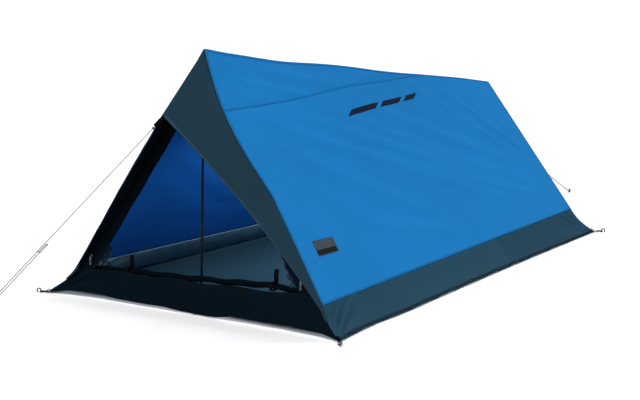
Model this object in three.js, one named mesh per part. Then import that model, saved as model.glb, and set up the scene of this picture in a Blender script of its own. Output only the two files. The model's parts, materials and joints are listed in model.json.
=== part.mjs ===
// Two-person ridge tent, pitched: two side walls over a front and a rear pole, a front hood held out by
// a guyline, a rear vent under its own small hood, a groundsheet, a rolled-down mesh door and its zips,
// six pegs and two guylines with their runners. Millimetres, +Z up, +Y from the entrance to the rear,
// origin on the ground under the middle of the groundsheet.
import * as THREE from 'three';

// ---- Driving dimensions ----
const FRONT_WIDTH = 1240; // hem corner to hem corner at the entrance
const REAR_WIDTH = 1056;
const LENGTH = 2365; // front hem corners to rear hem corners
const FRONT_HEIGHT = 930; // ridge over the front pole
const REAR_HEIGHT = 634; // ridge over the rear pole
const FRONT_POLE_SETBACK = 85; // front pole behind the line of the front hem corners
const REAR_PEAK_SETBACK = 52; // rear end of the ridge ahead of the line of the rear hem corners
const REAR_POLE_INSET = 16; // rear pole just inside that end, clear of the rear wall
const SKIRT_FRONT = 115; // height of the seam between side wall and skirt, front and rear
const SKIRT_REAR = 92;
const HEM_DRAW = 18; // how far the hem draws inwards half way between its pegs
const HEM_CLEARANCE = 4; // hem over the ground
const LEFT_CORNER_STRETCH = 52; // the left front skirt reaches this much further out to its peg
const REAR_CORNER_FLARE = 42; // and both rear skirts this much further than the walls' slope would
const HOOD_TIP_Y = -156; // hood tip, measured from the front hem line, and its height
const HOOD_TIP_Z = 726;
const SILL_HEIGHT = 143; // fixed panel across the foot of the entrance, at its right end
const SILL_LEFT_HEIGHT = 115; // its left end has slid down to the skirt seam
const BAND_WIDTH = 66; // dark band down each side of the entrance, zip at its inner edge
const EDGE_CURVE = 62; // the right wall's front edge runs this far ahead of a straight line, a quarter way down
const EDGE_CURVE_FOOT = 0.56; // share of the way down where that curve ends
const GROUNDSHEET_MARGIN = 18; // groundsheet edge inside the hem

const FABRIC = 1.2; // thickness of every cloth panel
const SEAM_GAP = 2.5; // clearance between cloth panels that are sewn together along a fold
const FLAT_SEAM_GAP = 1; // the same where the two panels lie nearly in one plane
const RIDGE_GAP = 1.3; // half the clearance between left and right panels at the ridge
const TOUCH = 0.4; // clearance between pieces that touch

const POLE_RADIUS = 4;
const POLE_BORE = 2.6;
const POLE_PITCH = 301; // from one pole joint to the next
const FERRULE_LENGTH = 75;
const FERRULE_RADIUS = 5.2;
const POLE_HEADROOM = 30; // ridge seam over the top of the pole

const PEG_RADIUS = 2.5;
const PEG_LENGTH = 170;
const PEG_HOOK_RADIUS = 7;
const CORD_RADIUS = 1.25;
const STRAND_SPACING = 10.4; // the two strands between a guyline's runner and its peg
const RUNNER_LENGTH = 34;

const FRONT_GUY_REACH = 1474; // front guyline peg ahead of the front hem line
const FRONT_GUY_START = [0, -195, 693];
const FRONT_RUNNER_AT = 0.455; // runner's place along the guyline, 0 at the tent and 1 at the peg
const REAR_GUY_REACH = 3277; // rear guyline peg, measured from the front hem line
const REAR_GUY_START = [0, 2456, 367];
const REAR_RUNNER_AT = 0.3;
const VENT_HOOD_TIP = [0, 2407, 388];

const FRONT_POLE_Y = FRONT_POLE_SETBACK;
const REAR_PEAK_Y = LENGTH - REAR_PEAK_SETBACK;
const REAR_POLE_Y = REAR_PEAK_Y - REAR_POLE_INSET;

// ---- Materials ----
const makeMaterial = (color, roughness, metalness = 0) =>
  new THREE.MeshStandardMaterial({ color, roughness, metalness, side: THREE.DoubleSide });
const finishes = {
  roof: () => makeMaterial(0x217abe, 0.62),
  skirt: () => makeMaterial(0x24445a, 0.7),
  hood: () => makeMaterial(0x1f3846, 0.7),
  sill: () => makeMaterial(0x07121a, 0.75),
  floor: () => makeMaterial(0x16252d, 0.6),
  mesh: () => makeMaterial(0x1a2a28, 0.85),
  webbing: () => makeMaterial(0x0a0b0d, 0.8),
  pole: () => makeMaterial(0x3a1518, 0.4),
  steel: () => makeMaterial(0x9fa5a8, 0.35, 0.9),
  plastic: () => makeMaterial(0x101214, 0.5),
  runner: () => makeMaterial(0xdfe3e2, 0.35),
  cord: () => makeMaterial(0x9a9da0, 0.8),
};

// ---- The tent's frame of points ----
// Places are written with y measured from the front hem line; at() moves them to the tent's own origin.
const at = (x, y, z) => new THREE.Vector3(x, y - LENGTH / 2, z);
const lerp = (a, b, t) => new THREE.Vector3().lerpVectors(a, b, t);

const frontPeak = at(0, FRONT_POLE_Y, FRONT_HEIGHT);
const rearPeak = at(0, REAR_PEAK_Y, REAR_HEIGHT);
const hoodTip = at(0, HOOD_TIP_Y, HOOD_TIP_Z);
const hemFront = (side) => at(side * FRONT_WIDTH / 2, 0, HEM_CLEARANCE);
const hemRear = (side) => at(side * REAR_WIDTH / 2, LENGTH, HEM_CLEARANCE);

// The seam's end at each corner lies on the straight line from the peak to the hem corner, or inside it
// where the skirt flares out to its peg.
function seamCorner(peak, hem, height) {
  return lerp(peak, hem, (peak.z - height) / (peak.z - hem.z));
}
const seamFront = (side) => {
  const corner = seamCorner(frontPeak, hemFront(side), SKIRT_FRONT);
  if (side < 0) corner.x += LEFT_CORNER_STRETCH;
  return corner;
};
const seamRear = (side) => {
  const corner = seamCorner(rearPeak, hemRear(side), SKIRT_REAR);
  corner.x -= side * REAR_CORNER_FLARE;
  return corner;
};

// 0 at both ends of a side and 1 half way along.
const bow = (u) => 4 * u * (1 - u);

const ridgeAt = (u) => lerp(frontPeak, rearPeak, u);
const ridgeWay = rearPeak.clone().sub(frontPeak).normalize();


// How a wall's front edge, a share v of the way down it, stands ahead of the straight line to its foot.
function edgeShift(side, v) {
  const share = side > 0 ? Math.min(v / EDGE_CURVE_FOOT, 1) : 0;
  return ridgeWay.clone().multiplyScalar(-EDGE_CURVE * Math.sin(Math.PI * share));
}

const seamAt = (side, u) => lerp(seamFront(side), seamRear(side), u);
function hemAt(side, u) {
  const point = lerp(hemFront(side), hemRear(side), u);
  return point.add(new THREE.Vector3(-side * HEM_DRAW * bow(u), 0, 0));
}

// ---- Solids from cloth ----
// A closed sheet of even thickness over a grid of points, rows[i][j].
function clothFromGrid(rows, thickness = FABRIC) {
  const high = rows.length;
  const wide = rows[0].length;
  const clamp = (value, last) => Math.min(Math.max(value, 0), last);
  const point = (i, j) => rows[clamp(i, high - 1)][clamp(j, wide - 1)];
  const positions = [];
  for (const shift of [thickness / 2, -thickness / 2]) {
    for (let i = 0; i < high; i++) {
      for (let j = 0; j < wide; j++) {
        const along = point(i, j + 1).clone().sub(point(i, j - 1));
        const across = point(i + 1, j).clone().sub(point(i - 1, j));
        const normal = along.cross(across).normalize();
        positions.push(...point(i, j).clone().addScaledVector(normal, shift).toArray());
      }
    }
  }
  const upper = (i, j) => i * wide + j;
  const lower = (i, j) => high * wide + i * wide + j;
  const faces = [];
  const quad = (a, b, c, d) => faces.push(a, b, c, a, c, d);
  for (let i = 0; i < high - 1; i++) {
    for (let j = 0; j < wide - 1; j++) {
      quad(upper(i, j), upper(i, j + 1), upper(i + 1, j + 1), upper(i + 1, j));
      quad(lower(i, j), lower(i + 1, j), lower(i + 1, j + 1), lower(i, j + 1));
    }
  }
  for (let j = 0; j < wide - 1; j++) {
    quad(upper(0, j), lower(0, j), lower(0, j + 1), upper(0, j + 1));
    quad(upper(high - 1, j + 1), lower(high - 1, j + 1), lower(high - 1, j), upper(high - 1, j));
  }
  for (let i = 0; i < high - 1; i++) {
    quad(upper(i + 1, 0), lower(i + 1, 0), lower(i, 0), upper(i, 0));
    quad(upper(i, wide - 1), lower(i, wide - 1), lower(i + 1, wide - 1), upper(i + 1, wide - 1));
  }
  const geometry = new THREE.BufferGeometry();
  geometry.setAttribute('position', new THREE.Float32BufferAttribute(positions, 3));
  geometry.setIndex(faces);
  return geometry;
}

// A closed sheet between two edges, each a function of u, from share v0 to v1 of the way across.
// shift, if given, moves each point by an amount that depends on u and v.
function clothBetween(edgeA, edgeB, { u0, u1, v0, v1, across, along, shift }) {
  const rows = [];
  for (let i = 0; i <= across; i++) {
    const v = THREE.MathUtils.lerp(v0, v1, i / across);
    const row = [];
    for (let j = 0; j <= along; j++) {
      const u = THREE.MathUtils.lerp(u0, u1, j / along);
      const point = lerp(edgeA(u), edgeB(u), v);
      row.push(shift ? point.add(shift(u, v)) : point);
    }
    rows.push(row);
  }
  return clothFromGrid(rows);
}

// A frame of axes on a flat panel: the origin, two directions in its plane and its normal.
function planeFrame(origin, towards, alsoInPlane) {
  const x = towards.clone().sub(origin).normalize();
  const z = x.clone().cross(alsoInPlane.clone().sub(origin)).normalize();
  const y = z.clone().cross(x);
  return new THREE.Matrix4().makeBasis(x, y, z).setPosition(origin);
}

// A flat closed sheet from points that lie in one plane, with any holes.
function flatCloth(outline, { holes = [], thickness = FABRIC } = {}) {
  const frame = planeFrame(outline[0], outline[1], outline[2]);
  const toPlane = frame.clone().invert();
  const flatten = (points) =>
    points.map((p) => p.clone().applyMatrix4(toPlane)).map((p) => new THREE.Vector2(p.x, p.y));
  const shape = new THREE.Shape(flatten(outline));
  shape.holes = holes.map((hole) => new THREE.Path(flatten(hole)));
  const geometry = new THREE.ExtrudeGeometry(shape, { depth: thickness, bevelEnabled: false });
  return geometry.translate(0, 0, -thickness / 2).applyMatrix4(frame);
}

// ---- Solids from hardware ----
const ROUND_SIDES = 16;

// A tube, rod or cup turned about +Z from a closed profile of [radius, height] pairs.
function turned(profile, sides = ROUND_SIDES) {
  const points = [...profile, profile[0]].map(([r, z]) => new THREE.Vector2(r, z));
  return new THREE.LatheGeometry(points, sides).rotateX(Math.PI / 2);
}
const hollowTube = (inner, outer, low, high) =>
  turned([[inner, low], [outer, low], [outer, high], [inner, high]]);

function rod(radius, low, high, sides = ROUND_SIDES) {
  const points = [[0, low], [radius, low], [radius, high], [0, high]];
  return new THREE.LatheGeometry(points.map(([r, z]) => new THREE.Vector2(r, z)), sides).rotateX(Math.PI / 2);
}

// A path with one step at each of its points, so that straight stretches stay light and bends are round.
class PointPath extends THREE.Curve {
  constructor(points) {
    super();
    this.points = points;
  }

  getPoint(t, target = new THREE.Vector3()) {
    const last = this.points.length - 1;
    const k = Math.min(Math.floor(t * last + 1e-9), last - 1);
    return target.lerpVectors(this.points[k], this.points[k + 1], t * last - k);
  }

  getPointAt(t, target) {
    return this.getPoint(t, target);
  }

  getTangentAt(t, target) {
    return this.getTangent(t, target);
  }
}

// Points along a straight stretch, the first included and the last left out.
const stretch = (a, b, count) => Array.from({ length: count }, (_, k) => lerp(a, b, k / count));

// A round bar or cord through a list of points.
function bar(points, radius, sides = 8) {
  const section = new THREE.Shape();
  for (let k = 0; k < sides; k++) {
    const angle = (k / sides) * Math.PI * 2;
    const corner = [radius * Math.cos(angle), radius * Math.sin(angle)];
    if (k === 0) section.moveTo(...corner);
    else section.lineTo(...corner);
  }
  const path = new PointPath(points);
  return new THREE.ExtrudeGeometry(section, { steps: points.length - 1, bevelEnabled: false, extrudePath: path });
}

// An outline with straight sides and round ends, long along x.
function stadium(length, width, ShapeType = THREE.Shape) {
  const r = width / 2;
  const half = length / 2 - r;
  const outline = new ShapeType();
  outline.absarc(half, 0, r, -Math.PI / 2, Math.PI / 2, false);
  outline.absarc(-half, 0, r, Math.PI / 2, Math.PI * 1.5, false);
  return outline;
}

// A flat webbing loop: a stadium ring of the given wall, standing depth thick.
function loopRing(length, width, wall, depth) {
  const shape = stadium(length, width);
  shape.holes = [stadium(length - 2 * wall, width - 2 * wall, THREE.Path)];
  const geometry = new THREE.ExtrudeGeometry(shape, { depth, bevelEnabled: false, curveSegments: 6 });
  return geometry.translate(0, 0, -depth / 2);
}

// ---- Assembly ----
const tent = new THREE.Group();

function add(name, geometry, material, parent = tent) {
  const mesh = new THREE.Mesh(geometry, material());
  mesh.name = name;
  parent.add(mesh);
  return mesh;
}

// A group whose z axis is the given direction and whose x axis is as near as can be to the other one.
function framedGroup(origin, x, z) {
  const group = new THREE.Group();
  const y = z.clone().cross(x).normalize();
  const squareX = y.clone().cross(z);
  group.applyMatrix4(new THREE.Matrix4().makeBasis(squareX, y, z).setPosition(origin));
  tent.add(group);
  return group;
}

const sides = { left: -1, right: 1 };

// ---- Side walls and skirts ----
function addSide(name, side) {
  const wallSpan = frontPeak.distanceTo(seamFront(side));
  const skirtSpan = seamFront(side).distanceTo(hemFront(side));
  const endGap = SEAM_GAP / LENGTH;
  const common = { u0: endGap, u1: 1 - endGap, along: 16 };
  const shift = (u, v) => edgeShift(side, v).multiplyScalar((1 - u) ** 8);
  const wall = { ...common, v0: RIDGE_GAP * 1.8 / wallSpan, v1: 1 - FLAT_SEAM_GAP / wallSpan, across: 14, shift };
  const skirt = { ...common, v0: FLAT_SEAM_GAP / skirtSpan, v1: 1, across: 2 };
  const seam = (u) => seamAt(side, u);
  const hem = (u) => hemAt(side, u);
  add(`roof_${name}`, clothBetween(ridgeAt, seam, wall), finishes.roof);
  add(`skirt_${name}`, clothBetween(seam, hem, skirt), finishes.skirt);
}

for (const [name, side] of Object.entries(sides)) addSide(name, side);

// Tape that reinforces the ridge seam from inside, between the two poles.
function addRidgeTape() {
  const drop = 15;
  const halfWidth = 6;
  const endClearance = 0.012;
  const edge = (x) => [endClearance, 1 - endClearance].map((u) => ridgeAt(u).add(new THREE.Vector3(x, 0, -drop)));
  const [a, b] = edge(halfWidth);
  const [d, c] = edge(-halfWidth);
  add('ridge_tape', flatCloth([a, b, c, d]), finishes.webbing);
}
addRidgeTape();

// ---- Front hood ----
// Each half runs from the wall's front edge to a free edge that curves in a little towards the wall.
const HOOD_EDGE_CURVE = 26;
function addHoodHalf(name, side) {
  const wallFoot = lerp(seamFront(side), hemFront(side), 0.7);
  const freeFoot = wallFoot.clone().add(new THREE.Vector3(0, -10, 0));
  const spread = wallFoot.clone().sub(frontPeak).normalize();
  const forward = hoodTip.clone().sub(frontPeak);
  const inPlane = forward.clone().addScaledVector(spread, -forward.dot(spread)).normalize();
  const wallShare = seamFront(side).distanceTo(frontPeak) / wallFoot.distanceTo(frontPeak);
  const wallEdge = (u) => {
    const shift = edgeShift(side, u / wallShare);
    return lerp(frontPeak, wallFoot, u).add(shift).addScaledVector(inPlane, SEAM_GAP);
  };
  const freeEdge = (u) => lerp(hoodTip, freeFoot, u).addScaledVector(inPlane, -HOOD_EDGE_CURVE * bow(u));
  const aside = new THREE.Vector3(side * SEAM_GAP, 0, 0);
  const rows = [];
  const across = 5;
  const along = 14;
  for (let i = 0; i <= across; i++) {
    const row = [];
    for (let j = 0; j <= along; j++) {
      const u = j / along;
      row.push(lerp(wallEdge(u), freeEdge(u), i / across).add(aside));
    }
    rows.push(row);
  }
  add(`hood_${name}`, clothFromGrid(rows), finishes.hood);
}
for (const [name, side] of Object.entries(sides)) addHoodHalf(name, side);

// ---- Entrance: one leaning plane from the front hem up to the peak ----
const entrance = (x, z) => at(x, FRONT_POLE_Y * z / FRONT_HEIGHT, z);
const edgeSlope = (side) => Math.abs(seamFront(side).x) / (FRONT_HEIGHT - SKIRT_FRONT);
// Half width of the entrance plane at height z, less an inset square to its sloping edge.
function entranceEdge(side, z, inset) {
  const slope = edgeSlope(side);
  const halfWidth = slope * (FRONT_HEIGHT - z) - inset * Math.hypot(1, slope);
  return entrance(side * halfWidth, z);
}
const heightWhereInset = (side, inset, halfWidth) =>
  FRONT_HEIGHT - (halfWidth + inset * Math.hypot(1, edgeSlope(side))) / edgeSlope(side);

function addSill() {
  const foot = FRONT_WIDTH / 2 - 4 * SEAM_GAP;
  const outline = [
    entrance(-foot, HEM_CLEARANCE),
    entrance(foot, HEM_CLEARANCE),
    entranceEdge(1, SKIRT_FRONT, 2 * SEAM_GAP),
    entranceEdge(1, SILL_HEIGHT, 2 * SEAM_GAP),
    entranceEdge(-1, SILL_LEFT_HEIGHT, 2 * SEAM_GAP),
  ];
  add('front_sill', flatCloth(outline), finishes.sill);
}
addSill();

const BAND_TOP = 840;
const ZIP = { inset: 31, width: 8, depth: 2, top: 815, foot: SILL_HEIGHT + 6 };
const entranceNormal = new THREE.Vector3(0, -FRONT_HEIGHT, FRONT_POLE_Y).normalize();
function addEntranceSide(name, side, sillHeight) {
  const bandFoot = sillHeight + 2 * SEAM_GAP;
  const innerTop = heightWhereInset(side, BAND_WIDTH, RIDGE_GAP);
  const band = [
    entranceEdge(side, bandFoot, BAND_WIDTH),
    entranceEdge(side, bandFoot, 2 * SEAM_GAP),
    entranceEdge(side, BAND_TOP, 2 * SEAM_GAP),
    entrance(side * RIDGE_GAP, BAND_TOP),
    entrance(side * RIDGE_GAP, innerTop),
  ];
  add(`door_band_${name}`, flatCloth(band), finishes.sill);
  const inner = ZIP.inset + ZIP.width / 2;
  const outer = ZIP.inset - ZIP.width / 2;
  const inFront = entranceNormal.clone().multiplyScalar(FABRIC / 2 + TOUCH + ZIP.depth / 2);
  const track = [
    entranceEdge(side, ZIP.foot, inner),
    entranceEdge(side, ZIP.foot, outer),
    entranceEdge(side, ZIP.top, outer),
    entranceEdge(side, ZIP.top, inner),
  ].map((corner) => corner.add(inFront));
  add(`zip_track_${name}`, flatCloth(track, { thickness: ZIP.depth }), finishes.webbing);
}
addEntranceSide('left', sides.left, SILL_LEFT_HEIGHT);
addEntranceSide('right', sides.right, SILL_HEIGHT);

// A zip slider rests near the foot of its track, at the given height, with a pull tab hung on its nose.
const SLIDER = { length: 17, width: 9, depth: 4.5 };
const PULL = { length: 32, width: 7, depth: 1.6, slot: 12, slotWidth: 3, pivot: 2 }; // pivot: below its top end
function addZipSlider(name, side, height) {
  const place = entranceEdge(side, height, ZIP.inset);
  const up = entranceEdge(side, ZIP.top, ZIP.inset).sub(place).normalize();
  const group = framedGroup(place, up, entranceNormal);
  const face = FABRIC / 2 + ZIP.depth + 2 * TOUCH;
  const body = new THREE.BoxGeometry(SLIDER.length, SLIDER.width, SLIDER.depth);
  add(`zip_slider_${name}`, body.translate(0, 0, face + SLIDER.depth / 2), finishes.steel, group);
  const swing = PULL.pivot + PULL.depth / 2 + TOUCH; // room for the tab's top end as it turns
  const front = place.clone().addScaledVector(entranceNormal, face + SLIDER.depth + swing);
  const tab = stadium(PULL.length, PULL.width);
  const slot = stadium(PULL.slot, PULL.slotWidth).getPoints(5);
  tab.holes = [new THREE.Path(slot.map((p) => p.clone().add(new THREE.Vector2(6, 0))))];
  const pull = new THREE.ExtrudeGeometry(tab, { depth: PULL.depth, bevelEnabled: false, curveSegments: 5 })
    .translate(PULL.length / 2 - PULL.pivot, 0, -PULL.depth / 2);
  const hanging = framedGroup(front, new THREE.Vector3(0, 0, -1), new THREE.Vector3(0, -1, 0));
  add(`zip_pull_${name}`, pull, finishes.steel, hanging);
}
addZipSlider('left', sides.left, 159);
addZipSlider('right', sides.right, 187);

// ---- Rear wall, vent and vent hood ----
// The rear wall leans back from the rear peak to the rear hem line.
const rearPlane = (x, z) => {
  const t = (REAR_HEIGHT - z) / (REAR_HEIGHT - HEM_CLEARANCE);
  return at(x, THREE.MathUtils.lerp(REAR_PEAK_Y, LENGTH, t), z);
};
const rearSlope = seamRear(sides.right).x / (REAR_HEIGHT - SKIRT_REAR);
const rearHalf = (z, inset) => rearSlope * (REAR_HEIGHT - z) - inset * Math.hypot(1, rearSlope);
const VENT = { low: 345, top: 520, half: 88 };
function addRearWall() {
  const inset = 2 * SEAM_GAP;
  const foot = SKIRT_REAR + FLAT_SEAM_GAP;
  const apex = REAR_HEIGHT - inset * Math.hypot(1, rearSlope) / rearSlope;
  const wall = [rearPlane(-rearHalf(foot, inset), foot), rearPlane(rearHalf(foot, inset), foot), rearPlane(0, apex)];
  const vent = (margin) => [
    rearPlane(-VENT.half - margin, VENT.low - margin),
    rearPlane(VENT.half + margin, VENT.low - margin),
    rearPlane(0, VENT.top + 2 * margin),
  ];
  add('rear_wall', flatCloth(wall, { holes: [vent(FLAT_SEAM_GAP)] }), finishes.roof);
  add('rear_vent_mesh', flatCloth(vent(0)), finishes.mesh);
  const top = SKIRT_REAR - FLAT_SEAM_GAP;
  const corner = REAR_WIDTH / 2 - inset;
  const skirt = [
    rearPlane(-corner, HEM_CLEARANCE),
    rearPlane(corner, HEM_CLEARANCE),
    rearPlane(rearHalf(top, inset), top),
    rearPlane(-rearHalf(top, inset), top),
  ];
  add('rear_skirt', flatCloth(skirt), finishes.skirt);
}
addRearWall();

const ventTip = at(...VENT_HOOD_TIP);
function addVentHoodHalf(name, side) {
  const clearance = new THREE.Vector3(side * RIDGE_GAP, 1.5, 0);
  const outline = [
    rearPlane(0, VENT.top + 34),
    rearPlane(side * (VENT.half + 34), VENT.low + 10),
    ventTip.clone(),
  ].map((p) => p.add(clearance));
  add(`vent_hood_${name}`, flatCloth(outline), finishes.hood);
}
for (const [name, side] of Object.entries(sides)) addVentHoodHalf(name, side);

// ---- Groundsheet ----
function addGroundsheet() {
  const front = FRONT_WIDTH / 2 - GROUNDSHEET_MARGIN;
  const rear = REAR_WIDTH / 2 - GROUNDSHEET_MARGIN;
  const thickness = 1.6;
  const [yFront, yRear] = [GROUNDSHEET_MARGIN, LENGTH - GROUNDSHEET_MARGIN];
  const outline = [at(-front, yFront, 0), at(front, yFront, 0), at(rear, yRear, 0), at(-rear, yRear, 0)];
  const sheet = flatCloth(outline, { thickness }).translate(0, 0, thickness / 2);
  add('groundsheet', sheet, finishes.floor);
}
addGroundsheet();

// ---- Rolled-down mesh door along the sill, held by two ties ----
const ROLL = { y: 35, radius: 14, left: -462, right: 468 };
const rollPath = new THREE.CatmullRomCurve3([
  at(ROLL.left, ROLL.y + 4, 112),
  at(-240, ROLL.y, 122),
  at(60, ROLL.y + 2, 134),
  at(300, ROLL.y, 149),
  at(ROLL.right, ROLL.y + 2, 147),
]);
add('rolled_door', bar(rollPath.getSpacedPoints(18), ROLL.radius, 10), finishes.mesh);

// A strap ring round the roll, a share of the way along it.
const TIE = { width: 13, wall: 1.5, clearance: 1.5 };
function addDoorTie(name, share) {
  const outer = ROLL.radius + TIE.clearance + TIE.wall;
  const ring = hollowTube(outer - TIE.wall, outer, -TIE.width / 2, TIE.width / 2);
  const group = framedGroup(rollPath.getPointAt(share), new THREE.Vector3(0, 0, 1), rollPath.getTangentAt(share));
  add(`door_tie_${name}`, ring, finishes.webbing, group);
}
addDoorTie('left', 0.197);
addDoorTie('right', 0.855);

// ---- Poles ----
// Tubes joined by ferrules, a foot on the groundsheet, a pocket under the ridge and a shock cord inside.
const FOOT = { radius: 6.5, base: 1.6 + TOUCH, height: 24, floor: 6 };
function addPole(name, y, ridgeHeight, names) {
  const group = new THREE.Group();
  group.position.copy(at(0, y, 0));
  tent.add(group);
  const top = ridgeHeight - POLE_HEADROOM;
  const tubeFoot = FOOT.base + FOOT.floor + TOUCH;
  const joints = names.slice(1).map((_, k) => FOOT.base + 16 + (k + 1) * POLE_PITCH - FERRULE_LENGTH / 2);
  const levels = [tubeFoot, ...joints, top];
  names.forEach((section, k) => {
    const tube = hollowTube(POLE_BORE, POLE_RADIUS, levels[k] + TOUCH / 2, levels[k + 1] - TOUCH / 2);
    add(`${name}_pole_${section}`, tube, finishes.pole, group);
  });
  joints.forEach((joint, k) => {
    const [low, high] = [joint - FERRULE_LENGTH / 2, joint + FERRULE_LENGTH / 2];
    const ferrule = hollowTube(POLE_RADIUS + TOUCH, FERRULE_RADIUS, low, high);
    add(`${name}_pole_ferrule_${k + 1}`, ferrule, finishes.steel, group);
  });
  const bore = POLE_RADIUS + TOUCH;
  const cup = [
    [0, FOOT.base],
    [FOOT.radius, FOOT.base],
    [FOOT.radius, FOOT.base + FOOT.height],
    [bore, FOOT.base + FOOT.height],
    [bore, FOOT.base + FOOT.floor],
    [0, FOOT.base + FOOT.floor],
  ];
  const turnedCup = (profile) =>
    new THREE.LatheGeometry(profile.map(([r, z]) => new THREE.Vector2(r, z)), ROUND_SIDES).rotateX(Math.PI / 2);
  add(`${name}_pole_foot`, turnedCup(cup), finishes.plastic, group);
  const roof = top + TOUCH;
  const pocket = [
    [0, roof],
    [bore, roof],
    [bore, roof - 20],
    [FOOT.radius, roof - 20],
    [FOOT.radius, roof + 2],
    [0, roof + 2],
  ];
  add(`${name}_pole_pocket`, turnedCup(pocket), finishes.webbing, group);
  const cord = rod(1.5, tubeFoot + 4, top - 6, 8);
  add(`${name}_shock_cord`, cord, finishes.cord, group);
}
addPole('front', FRONT_POLE_Y, FRONT_HEIGHT, ['lower', 'middle', 'upper']);
addPole('rear', REAR_POLE_Y, REAR_HEIGHT, ['lower', 'upper']);

// ---- Pegs ----
// Drawn with the neck that holds a loop at the origin: the shaft runs down, the hook turns over above.
function pegGeometry() {
  const r = PEG_HOOK_RADIUS;
  const neck = 6;
  const tip = new THREE.Vector3(0, 0, neck - PEG_LENGTH);
  const shaft = stretch(tip, new THREE.Vector3(0, 0, neck), 6);
  const bend = Array.from({ length: 9 }, (_, k) => {
    const angle = (k / 8) * Math.PI;
    return new THREE.Vector3(r - r * Math.cos(angle), 0, neck + r * Math.sin(angle));
  });
  return bar([...shaft, ...bend, new THREE.Vector3(2 * r, 0, neck - 7)], PEG_RADIUS);
}
// lean: the level direction, away from the tent, in which the peg's head leans and its hook opens.
function addPeg(name, neckPoint, lean, leanAngle) {
  const level = lean.clone().setZ(0).normalize();
  const axis = level.clone().multiplyScalar(Math.sin(leanAngle)).setZ(Math.cos(leanAngle));
  const hookWay = level.clone().multiplyScalar(Math.cos(leanAngle)).setZ(-Math.sin(leanAngle));
  add(name, pegGeometry(), finishes.steel, framedGroup(neckPoint, hookWay, axis));
}

// ---- Corner loops and their pegs ----
const CORNER_LOOP = { length: 34, width: 15, wall: 2, depth: 3 };
const CORNER_LEAN = THREE.MathUtils.degToRad(18);
function addCorner(name, hemCorner, outwards) {
  const out = outwards.clone().normalize();
  const middle = hemCorner.clone().addScaledVector(out, CORNER_LOOP.length / 2 + 2).setZ(HEM_CLEARANCE + 1);
  const { length, width, wall, depth } = CORNER_LOOP;
  const up = new THREE.Vector3(0, 0, 1);
  add(`peg_loop_${name}`, loopRing(length, width, wall, depth), finishes.webbing, framedGroup(middle, out, up));
  const neckAt = middle.clone().addScaledVector(out, length / 2 - wall - PEG_RADIUS - 2);
  addPeg(`peg_${name}`, neckAt, out, CORNER_LEAN);
}
addCorner('front_right', hemFront(1), new THREE.Vector3(0.55, -0.8, 0));
addCorner('front_left', hemFront(-1), new THREE.Vector3(-0.9, -0.35, 0));
addCorner('rear_right', hemRear(1), new THREE.Vector3(0.75, 0.65, 0));
addCorner('rear_left', hemRear(-1), new THREE.Vector3(-0.75, 0.65, 0));

// ---- Guylines ----
// A webbing loop at the tent, a cord down to its peg and round it, the strand that returns from there to
// the runner, and the stopper knot that ends it.
const GUY_LOOP = { length: 46, width: 9, wall: 1.5, depth: 12 };
const GUY_LOOP_SETBACK = 1.5;
const KNOT_RADIUS = 3.2;
const runnerSection = { width: 19, depth: 7, bore: 1.9 };

// A flat plate with two bores along it, one for each strand.
function runnerGeometry() {
  const { width, depth, bore } = runnerSection;
  const plate = stadium(width, depth);
  for (const x of [-STRAND_SPACING / 2, STRAND_SPACING / 2]) {
    const hole = new THREE.Path();
    hole.absarc(x, 0, bore, 0, Math.PI * 2, false);
    plate.holes.push(hole);
  }
  return new THREE.ExtrudeGeometry(plate, { depth: RUNNER_LENGTH, bevelEnabled: false, curveSegments: 6 });
}

function addGuyline(name, start, groundY, runnerAt) {
  const from = at(...start);
  const ground = at(0, groundY, 0);
  const down = ground.clone().sub(from).normalize();
  const side = new THREE.Vector3(1, 0, 0);
  const turnRadius = STRAND_SPACING / 2;
  const neck = ground.clone().addScaledVector(down, -2 * PEG_HOOK_RADIUS).addScaledVector(side, turnRadius);
  const span = from.distanceTo(neck.clone().addScaledVector(side, -turnRadius));
  const along = (distance, x) => from.clone().addScaledVector(down, distance).addScaledVector(side, x);

  const loopWay = from.clone().addScaledVector(down, -GUY_LOOP.length / 2 - GUY_LOOP_SETBACK);
  const loop = loopRing(GUY_LOOP.length, GUY_LOOP.width, GUY_LOOP.wall, GUY_LOOP.depth);
  add(`guy_loop_${name}`, loop, finishes.webbing, framedGroup(loopWay, down, side));

  const runnerStart = runnerAt * span;
  const knotPlace = runnerStart - TOUCH - KNOT_RADIUS;
  const turn = Array.from({ length: 9 }, (_, k) => {
    const angle = (k / 8) * Math.PI;
    return along(span + turnRadius * Math.sin(angle), turnRadius - turnRadius * Math.cos(angle));
  });
  const route = [...stretch(along(0, 0), turn[0], 32), ...turn];
  add(`guyline_${name}`, bar(route, CORD_RADIUS), finishes.cord);
  const returnEnd = along(runnerStart + TOUCH, 2 * turnRadius);
  const returnStart = along(span - TOUCH, 2 * turnRadius);
  add(`guyline_return_${name}`, bar([...stretch(returnStart, returnEnd, 16), returnEnd], CORD_RADIUS), finishes.cord);

  const up = side.clone().cross(down);
  const runner = framedGroup(along(runnerStart, turnRadius), side, down);
  add(`runner_${name}`, runnerGeometry(), finishes.runner, runner);
  const knot = new THREE.IcosahedronGeometry(KNOT_RADIUS, 1);
  add(`runner_knot_${name}`, knot, finishes.webbing).position.copy(along(knotPlace, 2 * turnRadius));
  const away = down.clone().setZ(0);
  addPeg(`peg_guy_${name}`, neck, away, Math.atan2(Math.abs(up.y), Math.abs(up.z)));
}
addGuyline('front', FRONT_GUY_START, -FRONT_GUY_REACH, FRONT_RUNNER_AT);
addGuyline('rear', REAR_GUY_START, REAR_GUY_REACH, REAR_RUNNER_AT);

export default tent;
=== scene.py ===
import json
import math
from functools import partial

import bmesh
import bpy
import numpy as np
from mathutils import Matrix, Vector


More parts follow.
